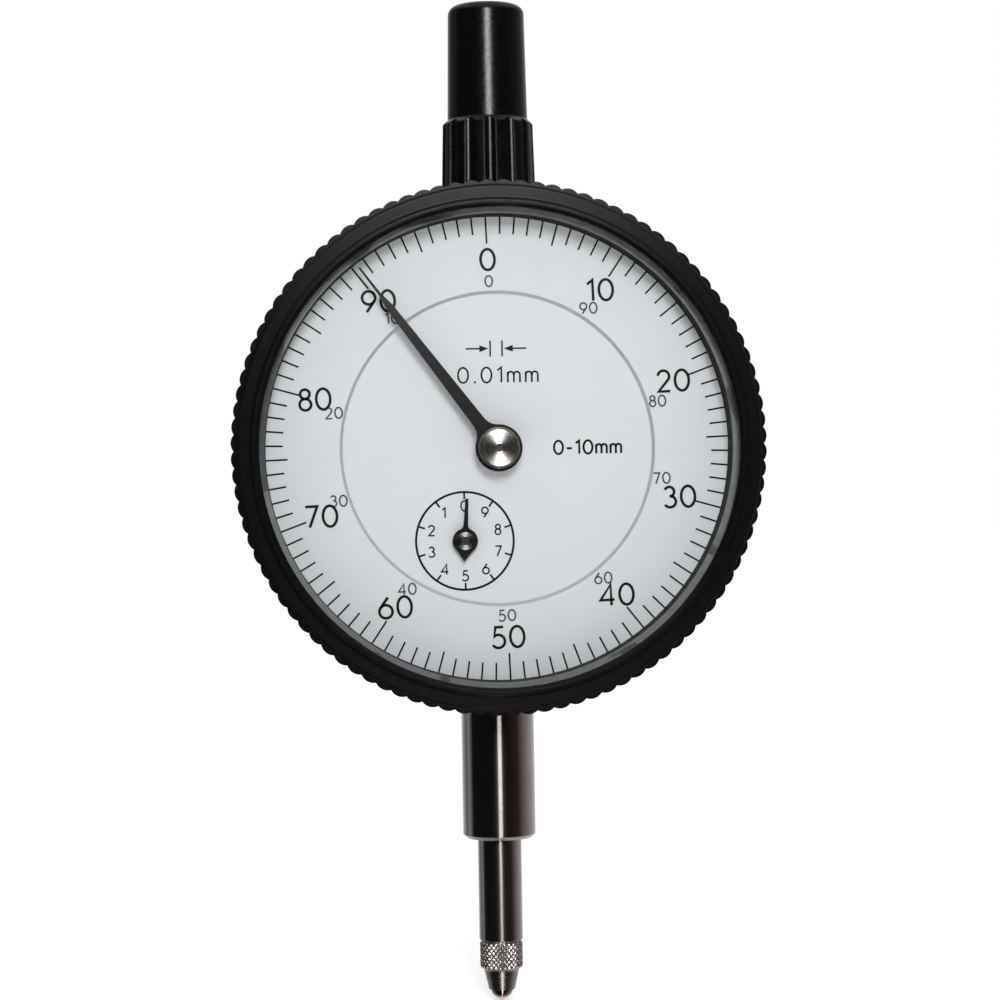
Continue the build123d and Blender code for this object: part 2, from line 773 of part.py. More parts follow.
# ---- spindle ----
def spindle():
    body = turned_z((0, spindle_end), (spindle_radius - spindle_end_edge, spindle_end),
                    (spindle_radius, spindle_end + spindle_end_edge), (spindle_radius, shoulder_height),
                    (upper_spindle_radius, shoulder_height + spindle_shoulder_slope),
                    (upper_spindle_radius, spindle_top - spindle_top_edge),
                    (upper_spindle_radius - spindle_top_edge, spindle_top), (0, spindle_top))
    body -= rack_cut()
    body -= rod_x(guide_pin_radius, -2 * spindle_radius, 2 * spindle_radius, z=guide_pin_height)
    depth = contact_stud_length + contact_hole_extra
    return body - rod_z(contact_stud_radius, spindle_end - over, spindle_end + depth)


def guide_pin():
    return rod_x(guide_pin_radius, -spindle_radius + guide_pin_inset, guide_pin_reach, z=guide_pin_height)


def stop_collar():
    """The collar that lands on the buffer washer, cut flat where it passes the pinion."""
    body = bush(spindle_radius, collar_radius, collar_bottom, collar_bottom + collar_height)
    flat = rack_root + collar_flat_gap
    return body - block(-2 * collar_radius, flat, -2 * collar_radius, 2 * collar_radius,
                        collar_bottom - over, collar_bottom + collar_height + over)


def ball_centre():
    tip = spindle_end - contact_barrel_length - contact_cone_length - ball_show
    return tip + ball_radius


def contact_point():
    cone_top = spindle_end - contact_barrel_length
    cone_end = cone_top - contact_cone_length
    stud_top = spindle_end + contact_stud_length
    body = turned_z((0, cone_end), (contact_seat_radius, cone_end),
                    (contact_cone_radius, cone_top - contact_edge),
                    (contact_barrel_radius - contact_lip, cone_top),
                    (contact_barrel_radius, cone_top + contact_lip),
                    (contact_barrel_radius, spindle_end - contact_edge),
                    (contact_barrel_radius - contact_edge, spindle_end),
                    (contact_stud_radius, spindle_end), (contact_stud_radius, stud_top), (0, stud_top))
    return body - Pos(0, 0, ball_centre()) * Sphere(ball_radius)


def contact_ball():
    return Pos(0, 0, ball_centre()) * Sphere(ball_radius)


# ---- arbors and wheels ----
def rack_pinion_arbor():
    """Pinion on the rack, seat for the wheel and staff for the small hand."""
    half = rack_pinion_length / 2
    outline = gear_outline(rack_module, rack_pinion_teeth, full_addendum, 0.0, 4)
    body = Pos(small_x, 0, small_z) * plate(outline, -half, half)
    body += rod_y(arbor_radius, front_plate_back + arbor_end_play, bridge_front - arbor_end_play,
                  small_x, small_z)
    body += rod_y(pivot_radius, small_hand_back - small_boss_height + staff_end_gap, bridge_back,
                  small_x, small_z)
    return body


def wheel(first_tooth, x, z):
    """A hundred-tooth wheel with round windows and a hub bored for its arbor."""
    outline = gear_outline(train_module, wheel_teeth, short_addendum, first_tooth, 2)
    body = Pos(x, 0, z) * plate(outline, wheel_front, wheel_back)
    reach = train_module * wheel_teeth / 4 + wheel_window_outset
    for number in range(wheel_window_count):
        angle = first_tooth + 2 * pi * number / wheel_window_count
        body -= rod_y(wheel_window_radius, wheel_front - over, wheel_back + over,
                      x + reach * cos(angle), z + reach * sin(angle))
    body += rod_y(wheel_hub_radius, wheel_back - wheel_hub_length, wheel_back, x, z)
    return body - rod_y(arbor_radius, wheel_front - wheel_hub_length, wheel_back + over, x, z)


def rack_wheel():
    return wheel(rack_wheel_tooth, small_x, small_z)


def takeup_wheel():
    return wheel(takeup_tooth, takeup_x, takeup_z)


def centre_arbor():
    """Ten-tooth pinion and the staff that carries the main hand."""
    middle = (wheel_front + wheel_back) / 2
    outline = gear_outline(train_module, centre_pinion_teeth, full_addendum, centre_tooth, 4)
    body = plate(outline, middle - pinion_length / 2, middle + pinion_length / 2 - thin_gap)
    body += rod_y(pivot_radius, rear_plate_back, middle)
    body += rod_y(arbor_radius, front_plate_back + arbor_end_play, middle)
    body += rod_y(pivot_radius + staff_shoulder, rear_plate_front - arbor_end_play, middle)
    return body + rod_y(staff_radius, hand_back - main_boss_height + staff_setback, middle)


def takeup_arbor():
    body = rod_y(arbor_radius, front_plate_back + arbor_end_play, rear_plate_front - arbor_end_play,
                 takeup_x, takeup_z)
    return body + rod_y(pivot_radius, front_plate_front, rear_plate_back, takeup_x, takeup_z)


def hairspring_back():
    return wheel_back - wheel_hub_length - hairspring_gap


def hairspring_collet():
    back = wheel_back - wheel_hub_length
    front = hairspring_back() - hairspring_height - thin_gap
    return ring_y(arbor_radius, collet_radius, front, back, takeup_x, takeup_z)


def hairspring():
    """A flat spiral from beside the collet out to the stud."""
    def spiral(offset):
        points = []
        for step in range(hairspring_turns * hairspring_steps + 1):
            angle = 2 * pi * step / hairspring_steps
            radius = hairspring_inner + offset + hairspring_pitch * step / hairspring_steps
            points.append((radius * cos(angle), radius * sin(angle)))
        return points
    inner, outer = spiral(0), spiral(hairspring_strip)
    edges = [Spline(*inner), Line(inner[-1], outer[-1]), Spline(*outer), Line(outer[0], inner[0])]
    back = hairspring_back()
    strip = plate(make_face(edges), back - hairspring_height, back)
    return Pos(takeup_x, 0, takeup_z) * strip


def hairspring_stud():
    """The block on the front plate that holds the spiral's outer end."""
    reach = hairspring_inner + hairspring_pitch * hairspring_turns + hairspring_strip
    return block(takeup_x + reach, takeup_x + reach + stud_size, front_plate_back, hairspring_back(),
                 takeup_z - stud_size / 2, takeup_z + stud_size / 2)


# ---- hands ----
def blade(points, ring_radius, blend):
    """Half a hand's outline mirrored about its length, blended into a ring at the arbor."""
    mirrored = [(-x, z) for x, z in reversed(points) if x > 0]
    outline = make_face(Polyline(*points, *mirrored, close=True)) + Circle(ring_radius)
    corners = [v for v in outline.vertices() if abs(hypot(v.X, v.Y) - ring_radius) < 0.001 and v.Y > 0]
    return fillet(corners, blend)


def main_hand():
    """A tapered blade that steps down to a fine pointer."""
    points = [(0, 0), (main_hand_root, 0), (main_hand_shoulder, main_hand_pointer - main_hand_step),
              (main_hand_tip, main_hand_pointer), (main_hand_point, main_hand_length)]
    outline = blade(points, main_hand_ring_radius, main_hand_blend) - Circle(staff_radius)
    return plate(Rot(Z=-main_hand_angle) * outline, hand_back - main_hand_thickness, hand_back)


def main_hand_boss():
    """The turned disc pressed on the staff over the main hand."""
    back = hand_back - main_hand_thickness
    front = hand_back - main_boss_height
    body = turned_y((0, front), (main_boss_radius - main_boss_edge, front),
                    (main_boss_radius, front + main_boss_edge), (main_boss_radius, back), (0, back))
    body -= rod_y(staff_radius, front + staff_setback, back + over)
    return body - rod_y(main_boss_hole, front - over, back)


def small_hand():
    """A short needle with a pointed tail."""
    points = [(0, -small_hand_tail), (small_hand_tail_root, -small_hand_tail_height),
              (small_hand_root, 0), (small_hand_tip, small_hand_length)]
    outline = blade(points, small_hand_ring_radius, small_hand_blend) - Circle(pivot_radius)
    turned = Rot(Z=-small_hand_angle) * outline
    body = plate(turned, small_hand_back - small_hand_thickness, small_hand_back)
    return Pos(small_x, 0, small_z) * body


def small_hand_boss():
    back = small_hand_back - small_hand_thickness
    return ring_y(pivot_radius, small_boss_radius, back - small_boss_height, back, small_x, small_z)


# ---- bezel ----
def serrated_outline():
    """The bezel's edge: rounded ridges that meet in shallow valleys."""
    edges = []
    valley = bezel_radius - serration_depth
    for number in range(serration_count):
        start, middle, end = [2 * pi * (number + part) / serration_count for part in (0, 0.5, 1)]
        edges.append(ThreePointArc((valley * cos(start), valley * sin(start)),
                                   (bezel_radius * cos(middle), bezel_radius * sin(middle)),
                                   (valley * cos(end), valley * sin(end))))
    return make_face(edges)


def bezel_ring():
    band_front = bezel_front + serration_front
    band_back = band_front + bezel_band
    band = plate(serrated_outline(), band_front, band_back)
    shoulder = bezel_radius - serration_depth - bezel_shoulder_inset
    step = shoulder - bezel_step_width
    step_face = bezel_front + bezel_step_depth
    front = turned_y((0, bezel_front), (step - bezel_rim_edge, bezel_front),
                     (step, bezel_front + bezel_rim_fall), (step, step_face),
                     (shoulder - bezel_edge, step_face), (shoulder, step_face + bezel_edge),
                     (shoulder, band_front + join), (0, band_front + join))
    tail_radius = bezel_radius - tail_inset
    tail = rod_y(tail_radius, band_back - join, bezel_back)
    body = band + front + tail
    body -= rod_y(bezel_bore, crystal_front, bezel_back + over)
    body -= turned_y((0, bezel_front - over), (lip_bore + bezel_lip_edge, bezel_front - over),
                     (lip_bore + bezel_lip_edge, bezel_front), (lip_bore, bezel_front + bezel_lip_edge),
                     (lip_bore, crystal_front + join), (0, crystal_front + join))
    wire, _ = groove_depths()
    half = wire_section / 2 + thin_gap
    return body - rod_y(spigot_radius + wire_section / 2 + thin_gap, wire - half, wire + half)


def crystal():
    return rod_y(laid_radius, crystal_front, crystal_back)


def crystal_gasket():
    return ring_y(laid_radius - spacer_width, laid_radius, crystal_back, crystal_back + gasket_thickness)


def spacer_ring():
    return ring_y(laid_radius - spacer_width, laid_radius, crystal_back + gasket_thickness, dial_face)


def graduated_ring():
    return turned_y((ring_inner_radius, ring_back), (laid_radius, ring_back), (laid_radius, dial_face),
                    (ring_inner_radius + ring_slope_width, dial_face),
                    (ring_inner_radius, dial_face + ring_slope_depth))


pieces = [
    case, stem, lower_bush, upper_bush, buffer_washer, spindle_cap, back_cover, back_gasket, back_screws,
    rear_plate, front_plate, plate_pillars, plate_screws, pillar_screws, pivot_jewels, dial_plate,
    rack_bridge, bridge_screws, guide_plate, guide_screws, spring_post, return_spring, bezel_snap_ring,
    bezel_oring, hairspring, hairspring_stud,
    spindle, guide_pin, stop_collar, contact_point, contact_ball,
    rack_pinion_arbor, rack_wheel, small_hand, small_hand_boss,
    centre_arbor, main_hand, main_hand_boss,
    takeup_arbor, takeup_wheel, hairspring_collet,
    bezel_ring, crystal, crystal_gasket, spacer_ring, graduated_ring,
]

os.makedirs("parts", exist_ok=True)
for piece in pieces:
    drawn = piece()
    drawn = drawn if isinstance(drawn, list) else drawn.solids()
    solids = [Pos(0, 0, dial_height) * solid for solid in drawn]
    shape = Compound(children=solids) if len(solids) > 1 else solids[0]
    export_step(shape, "parts/" + piece.__name__ + ".step")
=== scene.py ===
"""Dial indicator: its finishes, printed dial, knurled contact point, return spring and studio."""
from math import ceil, cos, pi, radians, sin

import bpy
from bpy.props import FloatProperty, FloatVectorProperty, IntProperty, PointerProperty, StringProperty
from bpy.types import Operator, Panel, PropertyGroup
from mathutils import Matrix, Vector


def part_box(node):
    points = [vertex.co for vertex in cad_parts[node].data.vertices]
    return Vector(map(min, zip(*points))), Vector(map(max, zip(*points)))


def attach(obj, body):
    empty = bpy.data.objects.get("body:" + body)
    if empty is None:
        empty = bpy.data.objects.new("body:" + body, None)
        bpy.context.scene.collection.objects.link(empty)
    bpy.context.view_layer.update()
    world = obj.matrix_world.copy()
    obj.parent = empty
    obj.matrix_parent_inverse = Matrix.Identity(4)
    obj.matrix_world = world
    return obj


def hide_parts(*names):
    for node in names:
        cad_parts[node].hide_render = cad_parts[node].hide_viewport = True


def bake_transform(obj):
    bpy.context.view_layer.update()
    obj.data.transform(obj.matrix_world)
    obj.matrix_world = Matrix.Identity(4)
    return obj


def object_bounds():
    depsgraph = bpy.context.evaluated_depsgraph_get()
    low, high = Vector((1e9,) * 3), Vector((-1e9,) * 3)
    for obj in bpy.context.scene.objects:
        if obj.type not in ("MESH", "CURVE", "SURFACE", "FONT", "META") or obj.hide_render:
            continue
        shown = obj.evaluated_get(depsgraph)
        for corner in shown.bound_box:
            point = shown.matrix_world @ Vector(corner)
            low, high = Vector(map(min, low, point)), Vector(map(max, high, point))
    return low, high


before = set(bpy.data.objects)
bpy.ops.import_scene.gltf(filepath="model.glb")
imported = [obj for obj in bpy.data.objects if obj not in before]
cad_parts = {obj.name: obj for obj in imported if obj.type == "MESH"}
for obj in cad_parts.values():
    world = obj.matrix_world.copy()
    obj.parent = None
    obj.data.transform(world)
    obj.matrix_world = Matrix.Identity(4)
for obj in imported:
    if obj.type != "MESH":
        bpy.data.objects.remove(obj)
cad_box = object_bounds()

bl_info = {
    "name": "Dial Indicator",
    "version": (1, 0, 0),
    "blender": (4, 5, 0),
    "location": "View3D > Sidebar > Dial Indicator",
    "description": "Finishes and prints a dial indicator and sets up its studio",
    "category": "Object",
}

ring_low, ring_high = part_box("graduated_ring")
disc_low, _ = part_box("dial_plate")
dial_middle = (ring_low + ring_high) / 2
small_middle = sum(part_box("small_hand_boss"), Vector()) / 2
boss_middle = sum(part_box("main_hand_boss"), Vector()) / 2
takeup_middle = sum(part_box("takeup_arbor"), Vector()) / 2


def length(name, description, default, low=0.0, high=0.2):
    return FloatProperty(name=name, description=description, default=default, min=low, max=high,
                         precision=5, unit="LENGTH")


def turn(name, description, default):
    return FloatProperty(name=name, description=description, default=default, subtype="ANGLE")


def tint(name, description, default):
    return FloatVectorProperty(name=name, description=description, default=default, size=3,
                               min=0.0, max=1.0, subtype="COLOR")


class RingPrint(PropertyGroup):
    """What is printed on the graduated ring."""
    ring_turn: turn("Ring turn", "How far the ring has been turned anticlockwise to set zero", radians(2.2))
    inner: length("Inner edge", "Radius of the ring's inner edge", 0.0165)
    slope: length("Slope", "Fall of the painted slope over the ring's inner edge", 0.00022)
    slope_width: length("Slope width", "Width of the painted slope", 0.0003)
    outer: length("Outer end", "Radius where every graduation starts, under the spacer", 0.0252)
    single: length("Single", "Radius where a single graduation ends", 0.02281)
    fifth: length("Fifth", "Radius where every fifth graduation ends", 0.02233)
    tenth: length("Tenth", "Radius where every tenth graduation ends", 0.0218)
    line: length("Line", "Width of a graduation", 0.00019)
    numeral_radius: length("Numeral radius", "Radius of the numerals' middles", 0.0201)
    numeral_height: length("Numeral height", "Height of the numerals", 0.00251)
    numeral_stroke: length("Numeral stroke", "Stroke of the numerals", 0.0003)
    reverse_radius: length("Reverse radius", "Radius of the small reverse numerals' middles", 0.0178)
    reverse_height: length("Reverse height", "Height of the reverse numerals", 0.00132)
    reverse_stroke: length("Reverse stroke", "Stroke of the reverse numerals", 0.00018)
    right_pull: turn("Right pull", "Shift of the reverse numerals beside 20 and 30", radians(4.6))
    left_pull: turn("Left pull", "Shift of the reverse numerals beside 70 and 80", radians(2.8))
    thickness: length("Ink thickness", "How far the ink stands off the dial", 0.000012)


class DiscPrint(PropertyGroup):
    """What is printed on the fixed centre disc."""
    unit_text: StringProperty(name="Unit", description="Value of one graduation", default="0.01mm")
    unit_height: length("Unit height", "Height of the unit's digits", 0.00181)
    unit_stroke: length("Unit stroke", "Stroke of the unit", 0.0002)
    unit_gap: FloatProperty(name="Unit gap", description="Space between the unit's letters, in heights",
                            default=0.265, min=0.0, max=1.0)
    unit_side: length("Unit side", "Distance of the unit's middle right of the dial's middle",
                      0.00015, -0.02)
    unit_rise: length("Unit rise", "Height of the unit's base line over the dial's middle", 0.00692)
    arrow_rise: length("Arrow rise", "Height of the arrow pair over the dial's middle", 0.01064)
    arrow_gap: length("Arrow gap", "Distance between the two bars", 0.00127)
    arrow_bar: length("Arrow bar", "Height of each bar", 0.0017)
    arrow_reach: length("Arrow reach", "Length of each arrow", 0.00245)
    arrow_head: length("Arrow head", "Length of each arrow's head", 0.00098)
    arrow_width: length("Arrow width", "Width of each arrow's head", 0.000735)
    arrow_line: length("Arrow line", "Width of the arrow's lines", 0.00017)
    travel_text: StringProperty(name="Travel", description="The travel note", default="0-10mm")
    travel_height: length("Travel height", "Height of the travel note", 0.00165)
    travel_stroke: length("Travel stroke", "Stroke of the travel note", 0.00024)
    travel_side: length("Travel side", "Distance of the travel note from the dial's middle", 0.0096)
    small_radius: length("Small dial", "Radius of the small dial's circle", 0.0052)
    small_line: length("Small line", "Width of the small dial's lines", 0.00024)
    small_tick: length("Small tick", "Length of the small dial's graduations", 0.00075)
    small_digit_radius: length("Small digit radius", "Radius of the small dial's digits", 0.00372)
    small_digit_height: length("Small digit height", "Height of the small dial's digits", 0.00124)
    small_digit_stroke: length("Small digit stroke", "Stroke of the small dial's digits", 0.00017)
    thickness: length("Ink thickness", "How far the ink stands off the disc", 0.000012)


class ContactShape(PropertyGroup):
    """The contact point's turned shape and its diamond knurl."""
    diamonds: IntProperty(name="Diamonds", description="Diamonds around the barrel", default=26,
                          min=8, max=60)
    depth: length("Depth", "Depth of the knurl", 0.00016)
    lead: FloatProperty(name="Slope", description="Height of a diamond over its width", default=1.1,
                        min=0.3)
    barrel: length("Barrel", "Length of the barrel", 0.003)
    margin: length("Margin", "Smooth margin at either end of the knurl", 0.0002)
    stud: length("Stud", "Radius of the stud that enters the spindle", 0.00125)
    cone: length("Cone", "Radius of the cone below the barrel", 0.00188)
    seat: length("Seat", "Radius of the cone at its lower end", 0.00144)
    seat_rise: length("Seat rise", "Height of the cone's lower end over the ball's foot", 0.0011)


class SpringShape(PropertyGroup):
    """The return spring's wire."""
    turns: IntProperty(name="Turns", description="Turns of the return spring", default=30, min=5, max=80)
    wire: length("Wire", "Radius of the spring's wire", 0.00018)
    hook: length("Hook", "Height of the spring's end hooks", 0.0009)


class Finishes(PropertyGroup):
    """Colours of the finishes."""
    dial_paint: tint("Dial paint", "Satin paint of the dial", (0.53, 0.546, 0.556))
    dial_ink: tint("Dial ink", "Printing ink", (0.005, 0.0052, 0.0055))
    reverse_ink: tint("Reverse ink", "Ink of the reverse numerals", (0.06, 0.065, 0.07))
    bezel: tint("Bezel", "Black anodised bezel", (0.0032, 0.0036, 0.004))
    cap: tint("Cap", "Moulded black cap", (0.002, 0.0021, 0.0022))
    enamel: tint("Enamel", "Baked enamel of the case and cover", (0.012, 0.0125, 0.013))
    hand: tint("Hands", "Blackened hands", (0.006, 0.0068, 0.0058))
    steel: tint("Steel", "Ground steel of stem and spindle", (0.62, 0.59, 0.57))
    boss: tint("Bosses", "Turned nickel silver of the hand bosses", (0.66, 0.62, 0.56))
    contact: tint("Contact", "Steel of the contact point", (0.56, 0.53, 0.5))
    brass: tint("Brass", "Brass of the movement", (0.72, 0.52, 0.22))
    bronze: tint("Bronze", "Bronze of the bushes", (0.52, 0.32, 0.16))
    ruby: tint("Ruby", "Bearing jewels", (0.62, 0.02, 0.06))
    hairspring: tint("Hairspring", "Blued steel of the hairspring", (0.08, 0.12, 0.3))
    rubber: tint("Rubber", "Cover gasket, buffer and O-ring", (0.012, 0.012, 0.012))
    washer: tint("Washer", "Grey washer under the crystal", (0.115, 0.12, 0.12))


class Studio(PropertyGroup):
    """Camera, floor and light."""
    distance: length("Distance", "From the camera to the spindle's axis", 0.28, 0.05, 5.0)
    azimuth: turn("Azimuth", "How far the camera stands to the left of straight in front", radians(3.2))
    roll: turn("Roll", "Roll of the camera", radians(0.97))
    aside: length("Aside", "How far the picture's middle lies right of the spindle's axis", 0.00068, -0.05)
    height: length("Height", "Height of the camera", 0.0294, -1.0, 1.0)
    lens: FloatProperty(name="Lens", description="Focal length on a 36 mm sensor", default=91.44,
                        subtype="DISTANCE_CAMERA")
    key_distance: length("Key distance", "From the dial to the key light", 0.6, 0.1, 5.0)
    key_rise: turn("Key rise", "How far the key light stands over the dial's axis", radians(19))
    key_side: FloatProperty(name="Key side", default=0.028, min=-1.0, max=1.0,
                            description="Key light's offset to the right, over its distance")
    key_width: length("Key width", "Width of the key light", 0.15, 0.01, 2.0)
    key_height: length("Key height", "Height of the key light", 0.17, 0.01, 2.0)
    key_power: FloatProperty(name="Key power", description="Power of the key light", default=2.3, min=0.0,
                             unit="POWER")
    overhead: FloatProperty(name="Overhead", description="Brightness of the overhead light", default=1.1,
                            min=0.0)
    strip: FloatProperty(name="Strip", description="Brightness of the strip light in front", default=3.1,
                         min=0.0)
    strip_side: turn("Strip bearing", "How far right of the front the strip stands", 0.035)
    strip_width: turn("Strip width", "Half width of the strip", 0.075)
    strip_gap_middle: FloatProperty(name="Strip gap middle", default=0.022, min=-1.0, max=1.0,
                                    description="Rise of the middle of the strip's gap")
    strip_gap: FloatProperty(name="Strip gap", default=0.1, min=0.0, max=1.0,
                             description="Half height of the gap that the crystal mirrors")
    strip_break_middle: FloatProperty(name="Strip break middle", default=-0.28, min=-1.0, max=1.0,
                                      description="Rise of the strip's dim stretch")
    strip_break: FloatProperty(name="Strip break", default=0.135, min=0.0, max=1.0,
                               description="Half height of the strip's dim stretch")
    floor: tint("Floor", "Colour of the floor", (0.93, 0.93, 0.93))
    floor_reach: length("Floor reach", "From the object to the floor's edge", 4.0, 0.5, 20.0)
    floor_drop: length("Floor drop", "How far the floor lies under the object", 0.0002)
    floor_glow: FloatProperty(name="Floor glow", description="Light that the lit floor gives of itself",
                              default=0.3, min=0.0, max=1.0)


# ---- node building ----
def feed(tree, socket, value):
    """A link from another socket, or a plain value."""
    if isinstance(value, bpy.types.NodeSocket):
        tree.links.new(value, socket)
    else:
        socket.default_value = value


def add_node(tree, kind, inputs=(), **settings):
    made = tree.nodes.new(kind)
    for key, value in settings.items():
        setattr(made, key, value)
    for key, value in dict(inputs).items():
        feed(tree, made.inputs[key], value)
    return made


def calculate(tree, operation, *values):
    """Output of a math node fed with sockets or plain numbers."""
    return add_node(tree, "ShaderNodeMath", dict(enumerate(values)), operation=operation).outputs[0]


def mixed(tree, factor, first, second, blend="MIX"):
    """Output of a mix of two colours."""
    made = add_node(tree, "ShaderNodeMix", {"Factor": factor, "A": first, "B": second},
                    data_type="RGBA", blend_type=blend)
    return made.outputs["Result"]


def between(tree, value, middle, half, soft, inside, outside):
    """One brightness within this distance of a middle and another beyond it, with a soft border."""
    off = calculate(tree, "ABSOLUTE", calculate(tree, "SUBTRACT", value, middle))
    fade = add_node(tree, "ShaderNodeMapRange", {"Value": off, "From Min": half, "From Max": half * soft,
                                                 "To Min": inside, "To Max": outside})
    return fade.outputs["Result"]


# ---- material building ----
def scaled(colour, share):
    return tuple(min(1.0, part * share) for part in colour)


class Recipe:
    """A material's node tree, with short names for the nodes that the finishes share."""

    def __init__(self, name):
        self.material = bpy.data.materials.new(name)
        self.material.use_nodes = True
        self.tree = self.material.node_tree
        self.shader = self.tree.nodes["Principled BSDF"]
        self.place = self.node("ShaderNodeTexCoord").outputs["Object"]

    def node(self, kind, inputs=(), **settings):
        return add_node(self.tree, kind, inputs, **settings)

    def noise(self, scale, detail, place=None):
        """Even grain of a given number of grains per metre."""
        made = self.node("ShaderNodeTexNoise", {"Vector": place or self.place, "Scale": scale,
                                                "Detail": detail})
        return made.outputs["Fac"]

    def grooves(self, along, scale):
        """Tool marks that change only along one measure."""
        made = self.node("ShaderNodeTexNoise", {"W": along, "Scale": scale, "Detail": 3.0},
                         noise_dimensions="1D")
        return made.outputs["Fac"]

    def span(self, value, low, high, start=0.3, end=0.7):
        made = self.node("ShaderNodeMapRange", {"Value": value, "From Min": start, "From Max": end,
                                                "To Min": low, "To Max": high})
        return made.outputs["Result"]

    def bump(self, height, depth, before):
        """Relief of a given depth over the normals that a socket gives."""
        made = self.node("ShaderNodeBump", {"Height": height, "Distance": depth})
        if before is not None:
            feed(self.tree, made.inputs["Normal"], before)
        return made.outputs["Normal"]

    def soft_edges(self, radius):
        return self.node("ShaderNodeBevel", {"Radius": radius}, samples=4).outputs["Normal"]

    def from_axis(self, centre):
        """Distance from an axis along Y through a centre."""
        offset = self.node("ShaderNodeVectorMath", {0: self.place, 1: (centre.x, 0.0, centre.z)},
                           operation="SUBTRACT")
        flat = self.node("ShaderNodeVectorMath", {0: offset.outputs[0], 1: (1.0, 0.0, 1.0)},
                         operation="MULTIPLY")
        return self.node("ShaderNodeVectorMath", {0: flat.outputs[0]}, operation="LENGTH").outputs["Value"]

    def up(self):
        return self.node("ShaderNodeSeparateXYZ", {0: self.place}).outputs["Z"]

    def finish(self, tone, marks, colour, contrast, rough, depth, edge, sockets):
        """The tone varies the colour; the marks vary the gloss and stand up by a depth."""
        inputs = self.shader.inputs
        dark, light = scaled(colour, 1 - contrast), scaled(colour, 1 + contrast)
        tones = mixed(self.tree, self.span(tone, 0.0, 1.0), (*dark, 1.0), (*light, 1.0))
        feed(self.tree, inputs["Base Color"], tones)
        feed(self.tree, inputs["Roughness"], self.span(marks, *rough))
        normal = self.soft_edges(edge) if edge else None
        feed(self.tree, inputs["Normal"], self.bump(marks, depth, normal))
        for socket, value in sockets.items():
            inputs[socket.replace("_", " ")].default_value = value
        return self


def coated(name, colour, rough, grain, depth, mottle=900.0, contrast=0.12, edge=0.0, **sockets):
    """Paint, enamel, plastic, rubber or anodising: a fine grain over a slow change of tone."""
    recipe = Recipe(name)
    return recipe.finish(recipe.noise(mottle, 3.0), recipe.noise(grain, 5.0), colour, contrast,
                         (rough - 0.05, rough + 0.07), depth, edge, sockets)


def metal(name, colour, rough, marks, depth, centre=None, contrast=0.1, streak=0.0, edge=0.0):
    """Turned or ground metal with this many tool marks per metre and their stretched gloss.

    The marks run round an axis along Y through the centre, or else round the upright axis."""
    recipe = Recipe(name)
    measure = recipe.up() if centre is None else recipe.from_axis(centre)
    recipe.finish(recipe.noise(450.0, 3.0), recipe.grooves(measure, marks), colour, contrast,
                  (rough - 0.04, rough + 0.06), depth, edge, {"Metallic": 1.0})
    if streak:
        inputs = recipe.shader.inputs
        inputs["Anisotropic"].default_value = streak
        inputs["Anisotropic Rotation"].default_value = 0.25
        axis = "Z" if centre is None else "Y"
        tangent = recipe.node("ShaderNodeTangent", direction_type="RADIAL", axis=axis)
        feed(recipe.tree, inputs["Tangent"], tangent.outputs[0])
    return recipe


def brushed(name, colour, rough, stretch, grain, depth):
    """Sheet metal with a grain stretched in one direction."""
    recipe = Recipe(name)
    spread = recipe.node("ShaderNodeMapping", {"Vector": recipe.place, "Scale": stretch}).outputs[0]
    lay = recipe.noise(grain, 4.0, spread)
    return recipe.finish(lay, lay, colour, 0.12, (rough - 0.05, rough + 0.08), depth, 0.00008,
                         {"Metallic": 1.0})


def clear_crystal():
    """A thin clear pane: it lets the light through and keeps a mirror's share of gloss."""
    recipe = Recipe("clear_crystal")
    dust = recipe.noise(2500.0, 5.0)
    gloss = recipe.node("ShaderNodeBsdfGlossy", {"Color": (0.9, 0.92, 0.92, 1.0),
                                                 "Roughness": recipe.span(dust, 0.0, 0.03)})
    through = recipe.node("ShaderNodeBsdfTransparent", {"Color": (0.985, 0.99, 0.99, 1.0)})
    outer = calculate(recipe.tree, "SUBTRACT", 1.0,
                      recipe.node("ShaderNodeNewGeometry").outputs["Backfacing"])
    share = calculate(recipe.tree, "MULTIPLY", recipe.node("ShaderNodeFresnel", {"IOR": 1.49}).outputs[0],
                      outer)
    pane = recipe.node("ShaderNodeMixShader", {0: share, 1: through.outputs[0], 2: gloss.outputs[0]})
    recipe.tree.links.new(pane.outputs[0], recipe.tree.nodes["Material Output"].inputs["Surface"])
    recipe.tree.nodes.remove(recipe.shader)
    return recipe.material


def give(material, *names):
    """The CAD nodes of these names take this material."""
    for name in names:
        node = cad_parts[name]
        node.data.materials.clear()
        node.data.materials.append(material)
        for place in node.material_slots:
            place.material = material


# ---- mesh building ----
def add_piece(name, vertices, faces, material, body, smooth=False):
    mesh = bpy.data.meshes.new(name)
    mesh.from_pydata(vertices, [], faces)
    mesh.validate()
    mesh.materials.append(material)
    if smooth:
        mesh.polygons.foreach_set("use_smooth", [True] * len(mesh.polygons))
    mesh.update()
    piece = bpy.data.objects.new(name, mesh)
    bpy.context.scene.collection.objects.link(piece)
    if body:
        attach(piece, body)
    return piece


